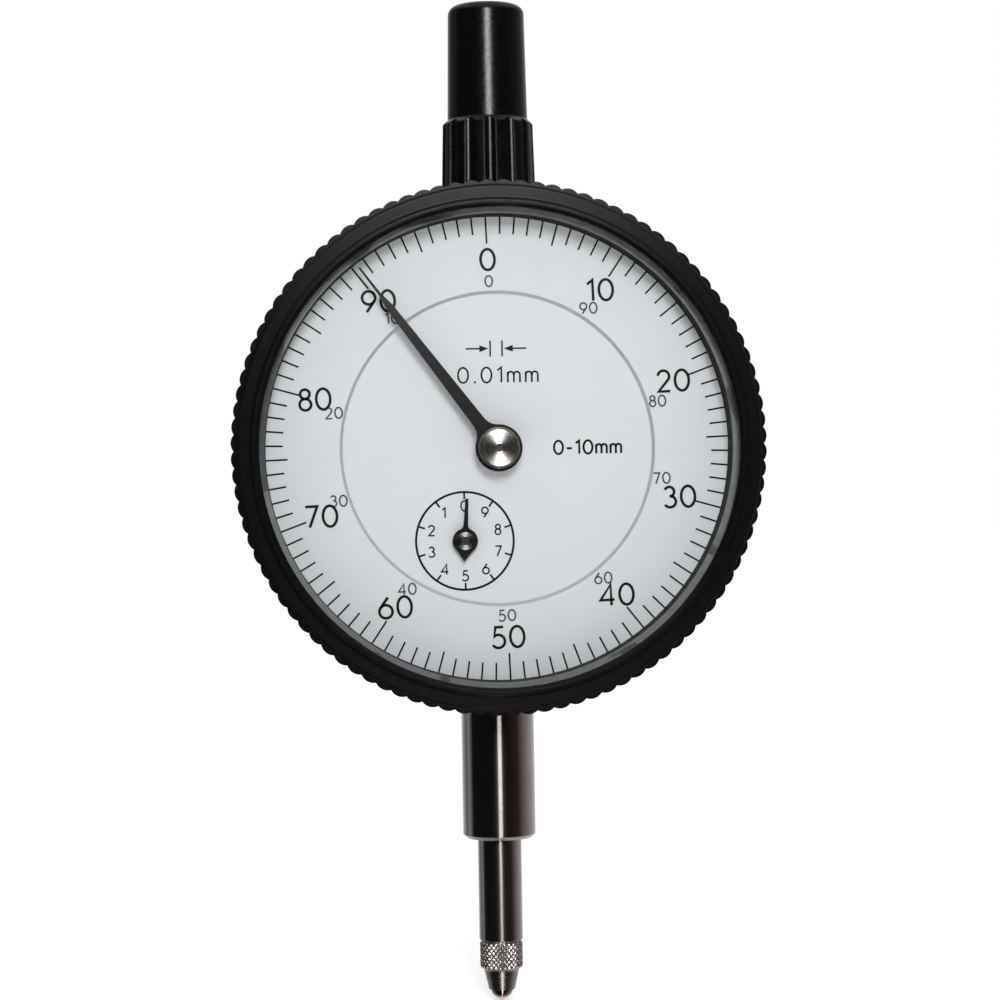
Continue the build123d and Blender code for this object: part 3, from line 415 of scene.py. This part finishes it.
class Ink:
    """Flat strokes and patches of ink that stand a little off a dial, in the dial's own plane."""
    root = 0.000004          # how far the ink reaches in behind the dial's face
    dot = 0.62               # radius of a full stop, in strokes

    def __init__(self, centre, face, thickness):
        self.centre, self.front, self.back = centre, face - thickness, face + self.root
        self.vertices, self.faces = [], []

    def prism(self, outline):
        count, first = len(outline), len(self.vertices)
        for depth in (self.front, self.back):
            self.vertices += [(self.centre.x + x, depth, self.centre.z + z) for x, z in outline]
        self.faces.append(list(range(first, first + count)))
        for step in range(count):
            after = (step + 1) % count
            self.faces.append([first + after, first + step, first + count + step, first + count + after])

    def stroke(self, points, width, closed=False):
        """A line of even width through the points, with mitred corners."""
        count, first = len(points), len(self.vertices)
        for number, point in enumerate(points):
            before = points[number - 1] if number or closed else None
            after = points[(number + 1) % count] if number < count - 1 or closed else None
            runs = []
            for start, end in ((before, point), (point, after)):
                if start is not None and end is not None:
                    run = Vector((end[0] - start[0], end[1] - start[1])).normalized()
                    runs.append(Vector((-run.y, run.x)))
            side = sum(runs, Vector((0.0, 0.0))).normalized()
            side *= width / 2 / max(0.5, side.dot(runs[0]))
            for depth in (self.front, self.back):
                for way in (1, -1):
                    self.vertices.append((self.centre.x + point[0] + way * side.x, depth,
                                          self.centre.z + point[1] + way * side.y))
        for number in range(count if closed else count - 1):
            a, b = first + 4 * number, first + 4 * ((number + 1) % count)
            self.faces += [[a, b, b + 1, a + 1], [a, a + 2, b + 2, b], [a + 1, b + 1, b + 3, a + 3]]
        if not closed:
            last = first + 4 * (count - 1)
            self.faces += [[first, first + 1, first + 3, first + 2], [last + 1, last, last + 2, last + 3]]

    def text(self, words, height, stroke, middle, turned=0.0, gap=0.12):
        """Words of this height about a middle, turned anticlockwise."""
        scale = height - stroke
        space = gap + stroke / scale
        drawn, reach = [], 0.0
        for letter in words:
            width, lines = glyph(letter)
            drawn += [[(reach + x, z) for x, z in line] for line in lines]
            reach += width + space
        reach -= space
        for line in drawn:
            flat = [((x - reach / 2) * scale, (z - 0.5) * scale) for x, z in line]
            points = [(middle[0] + x * cos(turned) - z * sin(turned),
                       middle[1] + x * sin(turned) + z * cos(turned)) for x, z in flat]
            closed = points[0] == points[-1]
            if len(points) == 1:
                x, z = points[0]
                self.prism(arc(x, z, self.dot * stroke, 0, 337.5, steps=15))
            else:
                self.stroke(points[:-1] if closed else points, stroke, closed)

    def finish(self, name, material, body):
        return add_piece(name, self.vertices, self.faces, material, body)


def arc(x, z, radius, start, end, squash=1.0, steps=None):
    """Points on an arc, its angles in degrees anticlockwise from the right."""
    count = steps or max(4, ceil(abs(end - start) / 10))
    angles = [radians(start + (end - start) * step / count) for step in range(count + 1)]
    return [(x + radius * cos(angle), z + radius * squash * sin(angle)) for angle in angles]


def nought():
    half = 0.335
    oval = arc(half, 0.5, half, 0, 360, 0.5 / half)
    return 2 * half, [oval[:-1] + [oval[0]]]


def one():
    return 0.3, [[(0.0, 0.8), (0.26, 1.0), (0.26, 0.0)]]


def two():
    bow = 0.275
    return 0.58, [arc(bow + 0.01, 1 - bow, bow, 172, -38) + [(0.02, 0.0), (0.58, 0.0)]]


def three():
    upper, lower = 0.235, 0.285
    return 0.56, [arc(0.25, 1 - upper, upper, 155, -90), arc(0.26, lower, lower, 90, -150, 0.95)]


def four():
    return 0.68, [[(0.52, 0.0), (0.52, 1.0), (0.0, 0.27), (0.68, 0.27)]]


def five():
    bow = 0.315
    return 0.6, [[(0.54, 1.0), (0.16, 1.0), (0.09, 0.56)] + arc(0.27, bow, bow, 118, -150)]


def six():
    bow = 0.315
    ring = arc(bow, bow, bow, 150, 510)
    return 2 * bow, [ring[:-1] + [ring[0]], [(bow * (1 - cos(radians(32))), bow * 1.53), (0.44, 1.0)]]


def seven():
    return 0.58, [[(0.0, 1.0), (0.58, 1.0), (0.18, 0.0)]]


def eight():
    upper, lower = 0.225, 0.275
    top = arc(lower, 1 - upper, upper, -90, 270)
    foot = arc(lower, lower, lower, 90, 450)
    return 2 * lower, [top[:-1] + [top[0]], foot[:-1] + [foot[0]]]


def nine():
    width, lines = six()
    return width, [[(width - x, 1 - z) for x, z in line] for line in lines]


def full_stop():
    return 0.1, [[(0.05, 0.03)]]


def dash():
    return 0.4, [[(0.0, 0.42), (0.4, 0.42)]]


def small_m():
    arch, top = 0.2, 0.7
    left = [(0.0, 0.0), (0.0, top)]
    first = [(0.0, top - arch)] + arc(arch, top - arch, arch, 180, 0) + [(2 * arch, 0.0)]
    second = [(x + 2 * arch, z) for x, z in first]
    return 4 * arch, [left, first, second]


shapes = {"0": nought, "1": one, "2": two, "3": three, "4": four, "5": five, "6": six, "7": seven,
          "8": eight, "9": nine, ".": full_stop, "-": dash, "m": small_m}


def glyph(letter):
    """Width and lines of a letter one unit high."""
    return shapes[letter]()


def around(radius, angle):
    """A place at a clockwise angle from the top."""
    return radius * sin(angle), radius * cos(angle)


# ---- operators ----
class PaintDial(Operator):
    """Satin paint on the dial's two pieces"""
    bl_idname = "dial_indicator.paint_dial"
    bl_label = "Dial Paint"

    def execute(self, context):
        finishes, ring = context.scene.indicator_finishes, context.scene.indicator_ring
        paint = coated("dial_paint", finishes.dial_paint, rough=0.42, grain=9000.0, depth=0.000002,
                       mottle=260.0, contrast=0.008, Specular_IOR_Level=0.35)
        reach = paint.from_axis(dial_middle)
        slope = paint.span(reach, 0.0, 1.0, ring.inner, ring.inner + ring.slope_width)
        normal = paint.shader.inputs["Normal"]
        feed(paint.tree, normal, paint.bump(slope, ring.slope, normal.links[0].from_socket))
        give(paint.material, "dial_plate", "graduated_ring")
        return {"FINISHED"}


class PrintRing(Operator):
    """Graduations and numerals of the ring that turns with the bezel"""
    bl_idname = "dial_indicator.print_ring"
    bl_label = "Ring Print"

    def execute(self, context):
        size, finishes = context.scene.indicator_ring, context.scene.indicator_finishes
        ink, grey = (coated(name, colour, rough=0.4, grain=12000.0, depth=0.000002, mottle=2000.0,
                            contrast=0.2, Specular_IOR_Level=0.1).material
                     for name, colour in (("dial_ink", finishes.dial_ink),
                                          ("reverse_ink", finishes.reverse_ink)))
        lines = Ink(dial_middle, ring_low.y, size.thickness)
        for number in range(100):
            end = size.tenth if number % 10 == 0 else size.fifth if number % 5 == 0 else size.single
            angle = 2 * pi * number / 100 - size.ring_turn
            lines.stroke([around(size.outer, angle), around(end, angle)], size.line)
        lines.finish("ring_graduations", ink, "bezel")
        numerals = Ink(dial_middle, ring_low.y, size.thickness)
        reverse = Ink(dial_middle, ring_low.y, size.thickness)
        pull = {2: size.right_pull, 3: -size.right_pull, 7: size.left_pull, 8: -size.left_pull}
        for number in range(10):
            angle = 2 * pi * number / 10 - size.ring_turn
            numerals.text(str(10 * number), size.numeral_height, size.numeral_stroke,
                          around(size.numeral_radius, angle), size.ring_turn)
            reverse.text(str((100 - 10 * number) % 100), size.reverse_height, size.reverse_stroke,
                         around(size.reverse_radius, angle + pull.get(number, 0.0)), size.ring_turn)
        numerals.finish("ring_numerals", ink, "bezel")
        reverse.finish("ring_reverse_numerals", grey, "bezel")
        return {"FINISHED"}


class PrintDisc(Operator):
    """Unit, arrows, travel note and small scale of the fixed disc"""
    bl_idname = "dial_indicator.print_disc"
    bl_label = "Disc Print"

    def execute(self, context):
        size = context.scene.indicator_disc
        ink = bpy.data.materials["dial_ink"]
        unit = Ink(dial_middle, disc_low.y, size.thickness)
        unit.text(size.unit_text, size.unit_height, size.unit_stroke,
                  (size.unit_side, size.unit_rise + size.unit_height / 2), gap=size.unit_gap)
        unit.text(size.travel_text, size.travel_height, size.travel_stroke, (size.travel_side, 0.0))
        for way in (-1, 1):
            bar, rise, half = way * size.arrow_gap / 2, size.arrow_rise, size.arrow_bar / 2
            tip = bar + way * size.arrow_line
            barb, end = tip + way * size.arrow_head, tip + way * size.arrow_reach
            shaft = barb - 0.1 * way * size.arrow_head      # the shaft starts inside the head
            unit.stroke([(bar, rise - half), (bar, rise + half)], size.arrow_line)
            unit.stroke([(shaft, rise), (end, rise)], size.arrow_line)
            unit.prism([(tip, rise), (barb, rise + way * size.arrow_width / 2),
                        (barb, rise - way * size.arrow_width / 2)])
        unit.finish("disc_unit_mark", ink, "case")
        centre = Vector((small_middle.x, 0.0, small_middle.z))
        small = Ink(centre, disc_low.y, size.thickness)
        circle = [around(size.small_radius, 2 * pi * step / 72) for step in range(72)]
        small.stroke(circle, size.small_line, closed=True)
        inner = size.small_radius - size.small_tick
        for number in range(10):
            angle = -2 * pi * number / 10
            small.stroke([around(size.small_radius, angle), around(inner, angle)], 0.85 * size.small_line)
            small.text(str(number), size.small_digit_height, size.small_digit_stroke,
                       around(size.small_digit_radius, angle))
        small.finish("disc_small_scale", ink, "case")
        return {"FINISHED"}


class FinishHands(Operator):
    """Blackened hands and their turned bosses"""
    bl_idname = "dial_indicator.finish_hands"
    bl_label = "Hands"

    def execute(self, context):
        finishes = context.scene.indicator_finishes
        hand = coated("hand_black", finishes.hand, rough=0.2, grain=8000.0, depth=0.000001, mottle=1500.0,
                      contrast=0.25, edge=0.00006, Specular_IOR_Level=0.2)
        give(hand.material, "main_hand", "small_hand")
        boss = metal("boss_turned", scaled(finishes.boss, 0.55), rough=0.24, marks=9000.0,
                     depth=0.0000008, centre=boss_middle, contrast=0.05, streak=0.93, edge=0.00004)
        give(boss.material, "main_hand_boss")
        small = metal("small_boss_turned", scaled(finishes.boss, 0.3), rough=0.2, marks=9000.0,
                      depth=0.0000008, centre=small_middle, contrast=0.05, streak=0.9, edge=0.00003)
        give(small.material, "small_hand_boss")
        return {"FINISHED"}


class FinishBezel(Operator):
    """Anodised bezel with its crystal, spacer, gasket and O-ring"""
    bl_idname = "dial_indicator.finish_bezel"
    bl_label = "Bezel"

    def execute(self, context):
        finishes = context.scene.indicator_finishes
        black = coated("bezel_anodised", finishes.bezel, rough=0.15, grain=14000.0, depth=0.0000015,
                       mottle=1800.0, contrast=0.2, edge=0.00025, Specular_IOR_Level=0.08)
        give(black.material, "bezel_ring")
        spacer = coated("spacer_black", finishes.bezel, rough=0.6, grain=11000.0, depth=0.000006,
                        mottle=1500.0, contrast=0.2, Specular_IOR_Level=0.08)
        give(spacer.material, "spacer_ring")
        rubber = coated("gasket_rubber", finishes.rubber, rough=0.62, grain=6000.0, depth=0.00001,
                        mottle=1200.0, contrast=0.25)
        give(rubber.material, "bezel_oring", "back_gasket", "buffer_washer")
        washer = coated("washer_grey", finishes.washer, rough=0.45, grain=7000.0, depth=0.000006,
                        mottle=1100.0)
        give(washer.material, "crystal_gasket")
        give(clear_crystal(), "crystal")
        return {"FINISHED"}


class FinishCase(Operator):
    """Enamelled case and back cover with its lug and screws"""
    bl_idname = "dial_indicator.finish_case"
    bl_label = "Case"

    def execute(self, context):
        finishes = context.scene.indicator_finishes
        enamel = coated("case_enamel", finishes.enamel, rough=0.33, grain=1600.0, depth=0.00002,
                        mottle=500.0, contrast=0.18, edge=0.0003, Coat_Weight=0.25, Coat_Roughness=0.15)
        give(enamel.material, "case", "back_cover")
        screw = brushed("screw_steel", finishes.steel, rough=0.3, stretch=(1.0, 1.0, 0.2), grain=5000.0,
                        depth=0.000004)
        give(screw.material, "back_screws", "plate_screws", "pillar_screws", "bridge_screws",
             "guide_screws", "bezel_snap_ring")
        return {"FINISHED"}


class FinishCap(Operator):
    """Moulded cap over the spindle's upper end"""
    bl_idname = "dial_indicator.finish_cap"
    bl_label = "Cap"

    def execute(self, context):
        finishes = context.scene.indicator_finishes
        cap = coated("cap_moulded", finishes.cap, rough=0.2, grain=2600.0, depth=0.0000015, mottle=700.0,
                     contrast=0.2, edge=0.00022, Specular_IOR_Level=0.2)
        give(cap.material, "spindle_cap")
        return {"FINISHED"}


class FinishSpindle(Operator):
    """Ground stem and spindle, their bushes and stops"""
    bl_idname = "dial_indicator.finish_spindle"
    bl_label = "Stem and Spindle"

    def execute(self, context):
        finishes = context.scene.indicator_finishes
        ground = metal("stem_ground", finishes.steel, rough=0.13, marks=14000.0, depth=0.0000005,
                       contrast=0.05, streak=0.8, edge=0.0001)
        give(ground.material, "stem")
        polished = metal("spindle_polished", scaled(finishes.steel, 0.95), rough=0.17, marks=20000.0,
                         depth=0.0000002, contrast=0.05, streak=0.75, edge=0.0001)
        give(polished.material, "spindle", "stop_collar", "guide_pin")
        bronze = metal("bush_bronze", finishes.bronze, rough=0.3, marks=9000.0, depth=0.000002)
        give(bronze.material, "lower_bush", "upper_bush")
        return {"FINISHED"}


class ShapeContact(Operator):
    """Contact point with its diamond knurl, and the carbide ball"""
    bl_idname = "dial_indicator.shape_contact"
    bl_label = "Contact Point"

    def execute(self, context):
        finishes, shape = context.scene.indicator_finishes, context.scene.indicator_contact
        low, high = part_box("contact_point")
        ball_low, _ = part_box("contact_ball")
        spindle_low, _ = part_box("spindle")
        radius, margin = (high.x - low.x) / 2, shape.margin
        top, foot = spindle_low.z, ball_low.z + shape.seat_rise
        barrel = top - shape.barrel
        cone_top = barrel - 2 * margin
        knurl_top, knurl_foot = top - margin, barrel + margin
        count = 8 * shape.diamonds
        levels = ceil((knurl_top - knurl_foot) / (2 * pi * radius / count))
        # each row of the turned profile: radius, height and share of the knurl's depth
        rows = [(shape.stud, top, 0.0), (radius - 1.3 * margin, top, 0.0),
                (radius - 0.6 * margin, top - 0.4 * margin, 0.0)]
        rows += [(radius, knurl_top + (knurl_foot - knurl_top) * level / levels, 1.0)
                 for level in range(levels + 1)]
        rows += [(radius - 0.6 * margin, barrel + 0.5 * margin, 0.0),
                 (radius - 1.5 * margin, barrel - 0.1 * margin, 0.0),
                 (shape.cone + 0.2 * margin, barrel - 1.1 * margin, 0.0)]
        for level in range(7):
            share = level / 6
            rows.append((shape.cone + (shape.seat - shape.cone) * share,
                         cone_top + (foot - cone_top) * share, 0.0))
        rows.append((shape.seat - 1.2 * margin, foot - 0.25 * margin, 0.0))
        pitch = 2 * pi / shape.diamonds
        vertices, faces = [], []
        for size, z, cut in rows:
            along = (z - knurl_foot) / (radius * pitch * shape.lead)
            for place in range(count):
                angle = 2 * pi * place / count
                slopes = [abs((angle / pitch + way * along) % 1.0 - 0.5) * 2 for way in (1, -1)]
                depth = shape.depth * (1 - min(min(slopes) * 1.6, 1.0)) * cut
                vertices.append(((size - depth) * cos(angle), (size - depth) * sin(angle), z))
        for row in range(len(rows) - 1):
            for place in range(count):
                after = (place + 1) % count
                faces.append([row * count + place, (row + 1) * count + place, (row + 1) * count + after,
                              row * count + after])
        steel = metal("contact_steel", finishes.contact, rough=0.27, marks=9000.0, depth=0.000002,
                      contrast=0.08, edge=0.00003)
        piece = add_piece("knurled_contact", vertices, faces, steel.material, "spindle",
                          smooth=True)
        piece.data.set_sharp_from_angle(angle=radians(38))
        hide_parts("contact_point")
        ball = metal("ball_carbide", scaled(finishes.contact, 0.85), rough=0.12, marks=3000.0,
                     depth=0.0000005)
        give(ball.material, "contact_ball")
        return {"FINISHED"}


class FinishMovement(Operator):
    """Brass plates and wheels, steel arbors, jewels and hairspring"""
    bl_idname = "dial_indicator.finish_movement"
    bl_label = "Movement"

    def execute(self, context):
        finishes = context.scene.indicator_finishes
        plates = brushed("plate_brass", finishes.brass, rough=0.3, stretch=(1.0, 1.0, 0.06), grain=5200.0,
                         depth=0.000003)
        give(plates.material, "rear_plate", "front_plate", "rack_bridge", "guide_plate", "plate_pillars",
             "hairspring_stud", "hairspring_collet")
        for name, centre in (("rack_wheel", small_middle), ("takeup_wheel", takeup_middle)):
            wheel = metal(name + "_brass", finishes.brass, rough=0.27, marks=7000.0, depth=0.0000015,
                          centre=centre, contrast=0.08)
            give(wheel.material, name)
        arbor = metal("arbor_steel", finishes.steel, rough=0.2, marks=8000.0, depth=0.000001)
        give(arbor.material, "takeup_arbor", "spring_post")
        blued = metal("arbor_blued", scaled(finishes.steel, 0.06), rough=0.3, marks=8000.0, depth=0.000001)
        give(blued.material, "centre_arbor", "rack_pinion_arbor")
        blue = brushed("hairspring_blue", finishes.hairspring, rough=0.25, stretch=(1.0, 1.0, 1.0),
                       grain=6000.0, depth=0.000001)
        give(blue.material, "hairspring")
        jewel = coated("jewel_ruby", finishes.ruby, rough=0.08, grain=5000.0, depth=0.0000005,
                       contrast=0.15, Transmission_Weight=0.4, IOR=1.76)
        give(jewel.material, "pivot_jewels")
        return {"FINISHED"}


class CoilSpring(Operator):
    """Return spring as a real coil that stretches between its post and the guide pin"""
    bl_idname = "dial_indicator.coil_spring"
    bl_label = "Return Spring"

    def execute(self, context):
        finishes, shape = context.scene.indicator_finishes, context.scene.indicator_spring
        low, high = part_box("return_spring")
        middle = (low + high) / 2
        coil, hook = (high.x - low.x) / 2 - shape.wire, shape.hook
        bottom, top = low.z + shape.wire, high.z - shape.wire
        steps, sides = 20 * shape.turns, 8
        reaches = (0.0, 0.3, 0.7)
        path = [Vector((middle.x + coil * reach, middle.y, bottom + hook * reach)) for reach in reaches]
        for step in range(steps + 1):
            share = step / steps
            angle = 2 * pi * shape.turns * share
            path.append(Vector((middle.x + coil * cos(angle), middle.y + coil * sin(angle),
                                bottom + hook + (top - bottom - 2 * hook) * share)))
        path += [Vector((middle.x + coil * reach, middle.y, top - hook * reach))
                 for reach in reversed(reaches)]
        vertices, faces = [], []
        side = Vector((0.0, 1.0, 0.0))
        for number, point in enumerate(path):
            run = (path[min(number + 1, len(path) - 1)] - path[max(number - 1, 0)]).normalized()
            side = (side - run * side.dot(run)).normalized()
            other = run.cross(side)
            for place in range(sides):
                angle = 2 * pi * place / sides
                vertices.append(point + shape.wire * (cos(angle) * side + sin(angle) * other))
        for row in range(len(path) - 1):
            for place in range(sides):
                after = (place + 1) % sides
                faces.append([row * sides + place, row * sides + after, (row + 1) * sides + after,
                              (row + 1) * sides + place])
        last = (len(path) - 1) * sides
        faces += [list(reversed(range(sides))), list(range(last, last + sides))]
        wire = metal("spring_wire", finishes.steel, rough=0.25, marks=9000.0, depth=0.000001)
        coiled = add_piece("coiled_return_spring", vertices, faces, wire.material, None,
                           smooth=True)
        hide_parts("return_spring")
        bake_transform(coiled)
        return {"FINISHED"}


# the walls' colours by the share of a turn from behind the object, round its left side and back
wall_tones = [(0.0, (0.9, 0.9, 0.9)), (0.11, (0.3, 0.3, 0.3)), (0.155, (0.12, 0.12, 0.12)),
              (0.19, (0.27, 0.27, 0.26)), (0.225, (0.09, 0.09, 0.09)), (0.243, (0.008, 0.007, 0.007)),
              (0.45, (0.006, 0.005, 0.005)), (0.58, (0.012, 0.008, 0.007)), (0.67, (0.03, 0.02, 0.018)),
              (0.73, (0.16, 0.13, 0.12)), (0.85, (0.4, 0.38, 0.37)), (1.0, (0.9, 0.9, 0.9))]
ceiling_tint = (1.0, 0.975, 0.965)


class SetStudio(Operator):
    """Pale floor, key light, overhead light and camera"""
    bl_idname = "dial_indicator.set_studio"
    bl_label = "Studio"

    def execute(self, context):
        studio, scene = context.scene.indicator_studio, context.scene
        self.lay_floor(scene, studio)

        lamp = bpy.data.lights.new("key_light", "AREA")
        lamp.shape, lamp.size, lamp.size_y = "RECTANGLE", studio.key_width, studio.key_height
        lamp.energy, lamp.color = studio.key_power, (0.985, 0.99, 1.0)
        key = bpy.data.objects.new("key_light", lamp)
        scene.collection.objects.link(key)
        towards = Vector((studio.key_side, -cos(studio.key_rise), sin(studio.key_rise))).normalized()
        key.location = dial_middle + studio.key_distance * towards
        key.rotation_euler = towards.to_track_quat("Z", "Y").to_euler()

        self.light_world(scene, studio)

        camera = bpy.data.objects.new("camera", bpy.data.cameras.new("camera"))
        scene.collection.objects.link(camera)
        forward = Vector((sin(studio.azimuth), cos(studio.azimuth), 0.0))
        right = Vector((cos(studio.azimuth), -sin(studio.azimuth), 0.0))
        spot = -studio.distance * forward + studio.aside * right
        spot.z = studio.height
        pose = forward.to_track_quat("-Z", "Y").to_matrix().to_4x4()
        camera.matrix_world = Matrix.Translation(spot) @ pose @ Matrix.Rotation(-studio.roll, 4, "Z")
        camera.data.sensor_width = 36.0
        camera.data.lens = studio.lens
        camera.data.clip_start, camera.data.clip_end = 0.01, 20.0
        scene.camera = camera
        scene.view_settings.view_transform = "Standard"
        return {"FINISHED"}

    def lay_floor(self, scene, studio):
        """A wide floor of pale paper, left out of the object's reflections."""
        low, _ = cad_box
        paper = coated("floor_paper", studio.floor, rough=0.85, grain=1500.0, depth=0.00003,
                       mottle=40.0, contrast=0.01, Emission_Color=(1.0, 1.0, 1.0, 1.0),
                       Emission_Strength=studio.floor_glow)
        count, reach, height = 12, studio.floor_reach, low[2] - studio.floor_drop
        corners = [(reach * (2 * x / count - 1), reach * (2 * y / count - 1), height)
                   for y in range(count + 1) for x in range(count + 1)]
        tiles = [[y * (count + 1) + x, y * (count + 1) + x + 1, (y + 1) * (count + 1) + x + 1,
                  (y + 1) * (count + 1) + x] for y in range(count) for x in range(count)]
        mesh = bpy.data.meshes.new("studio_floor")
        mesh.from_pydata(corners, [], tiles)
        mesh.materials.append(paper.material)
        floor = bpy.data.objects.new("studio_floor", mesh)
        scene.collection.objects.link(floor)
        floor.visible_glossy = False

    def light_world(self, scene, studio):
        """A dim room with pale walls behind the object, a strip light in front and a bright ceiling."""
        world = bpy.data.worlds.new("studio_room")
        scene.world = world
        world.use_nodes = True
        tree = world.node_tree
        tree.nodes.clear()
        way = add_node(tree, "ShaderNodeTexCoord").outputs["Generated"]
        parts = add_node(tree, "ShaderNodeSeparateXYZ", {0: way}).outputs
        bearing = calculate(tree, "ARCTAN2", parts["X"], calculate(tree, "MULTIPLY", parts["Y"], -1.0))
        share = add_node(tree, "ShaderNodeMapRange", {"Value": bearing, "From Min": -pi, "From Max": pi})
        walls = add_node(tree, "ShaderNodeValToRGB", {0: share.outputs[0]})
        while len(walls.color_ramp.elements) < len(wall_tones):
            walls.color_ramp.elements.new(0.5)
        for element, (place, colour) in zip(walls.color_ramp.elements, wall_tones):
            element.position, element.color = place, (*colour, 1.0)
        up = parts["Z"]
        rise = add_node(tree, "ShaderNodeMapRange", {"Value": up, "From Min": 0.45, "From Max": 0.75},
                        interpolation_type="SMOOTHSTEP")
        upright = between(tree, bearing, studio.strip_side, studio.strip_width, 1.6, 1.0, 0.0)
        parted = between(tree, up, studio.strip_gap_middle, studio.strip_gap, 1.15, 0.0, 1.0)
        dimmed = between(tree, up, studio.strip_break_middle, studio.strip_break, 1.15, 0.03, 1.0)
        strip = calculate(tree, "MULTIPLY", upright, parted)
        glow = calculate(tree, "MULTIPLY", calculate(tree, "MULTIPLY", strip, dimmed), studio.strip)
        lit = mixed(tree, 1.0, walls.outputs[0], glow, "ADD")
        room = mixed(tree, rise.outputs[0], lit, (*(studio.overhead * part for part in ceiling_tint), 1.0))
        seen = add_node(tree, "ShaderNodeLightPath").outputs["Is Camera Ray"]
        backdrop = mixed(tree, seen, room, (1.0, 1.0, 1.0, 1.0))
        background = add_node(tree, "ShaderNodeBackground", {"Color": backdrop})
        output = add_node(tree, "ShaderNodeOutputWorld")
        tree.links.new(background.outputs[0], output.inputs["Surface"])


class IndicatorPanel(Panel):
    """Sizes, colours and operators of the dial indicator"""
    bl_idname = "VIEW3D_PT_dial_indicator"
    bl_label = "Dial Indicator"
    bl_space_type = "VIEW_3D"
    bl_region_type = "UI"
    bl_category = "Dial Indicator"

    def draw(self, context):
        for operator in operators:
            self.layout.operator(operator.bl_idname)
        for name, group in groups.items():
            box = self.layout.box()
            for key in group.__annotations__:
                box.prop(getattr(context.scene, name), key)


groups = {"indicator_ring": RingPrint, "indicator_disc": DiscPrint, "indicator_contact": ContactShape,
          "indicator_spring": SpringShape, "indicator_finishes": Finishes, "indicator_studio": Studio}
operators = [PaintDial, PrintRing, PrintDisc, FinishHands, FinishBezel, FinishCase, FinishCap,
             FinishSpindle, ShapeContact, FinishMovement, CoilSpring, SetStudio]


def register():
    for cls in [*groups.values(), *operators, IndicatorPanel]:
        bpy.utils.register_class(cls)
    for name, group in groups.items():
        setattr(bpy.types.Scene, name, PointerProperty(type=group))


def unregister():
    for name in groups:
        delattr(bpy.types.Scene, name)
    for cls in reversed([*groups.values(), *operators, IndicatorPanel]):
        bpy.utils.unregister_class(cls)


def main():
    register()
    bpy.ops.dial_indicator.paint_dial()
    bpy.ops.dial_indicator.print_ring()
    bpy.ops.dial_indicator.print_disc()
    bpy.ops.dial_indicator.finish_hands()
    bpy.ops.dial_indicator.finish_bezel()
    bpy.ops.dial_indicator.finish_case()
    bpy.ops.dial_indicator.finish_cap()
    bpy.ops.dial_indicator.finish_spindle()
    bpy.ops.dial_indicator.shape_contact()
    bpy.ops.dial_indicator.finish_movement()
    bpy.ops.dial_indicator.coil_spring()
    bpy.ops.dial_indicator.set_studio()


if __name__ == "__main__":
    main()
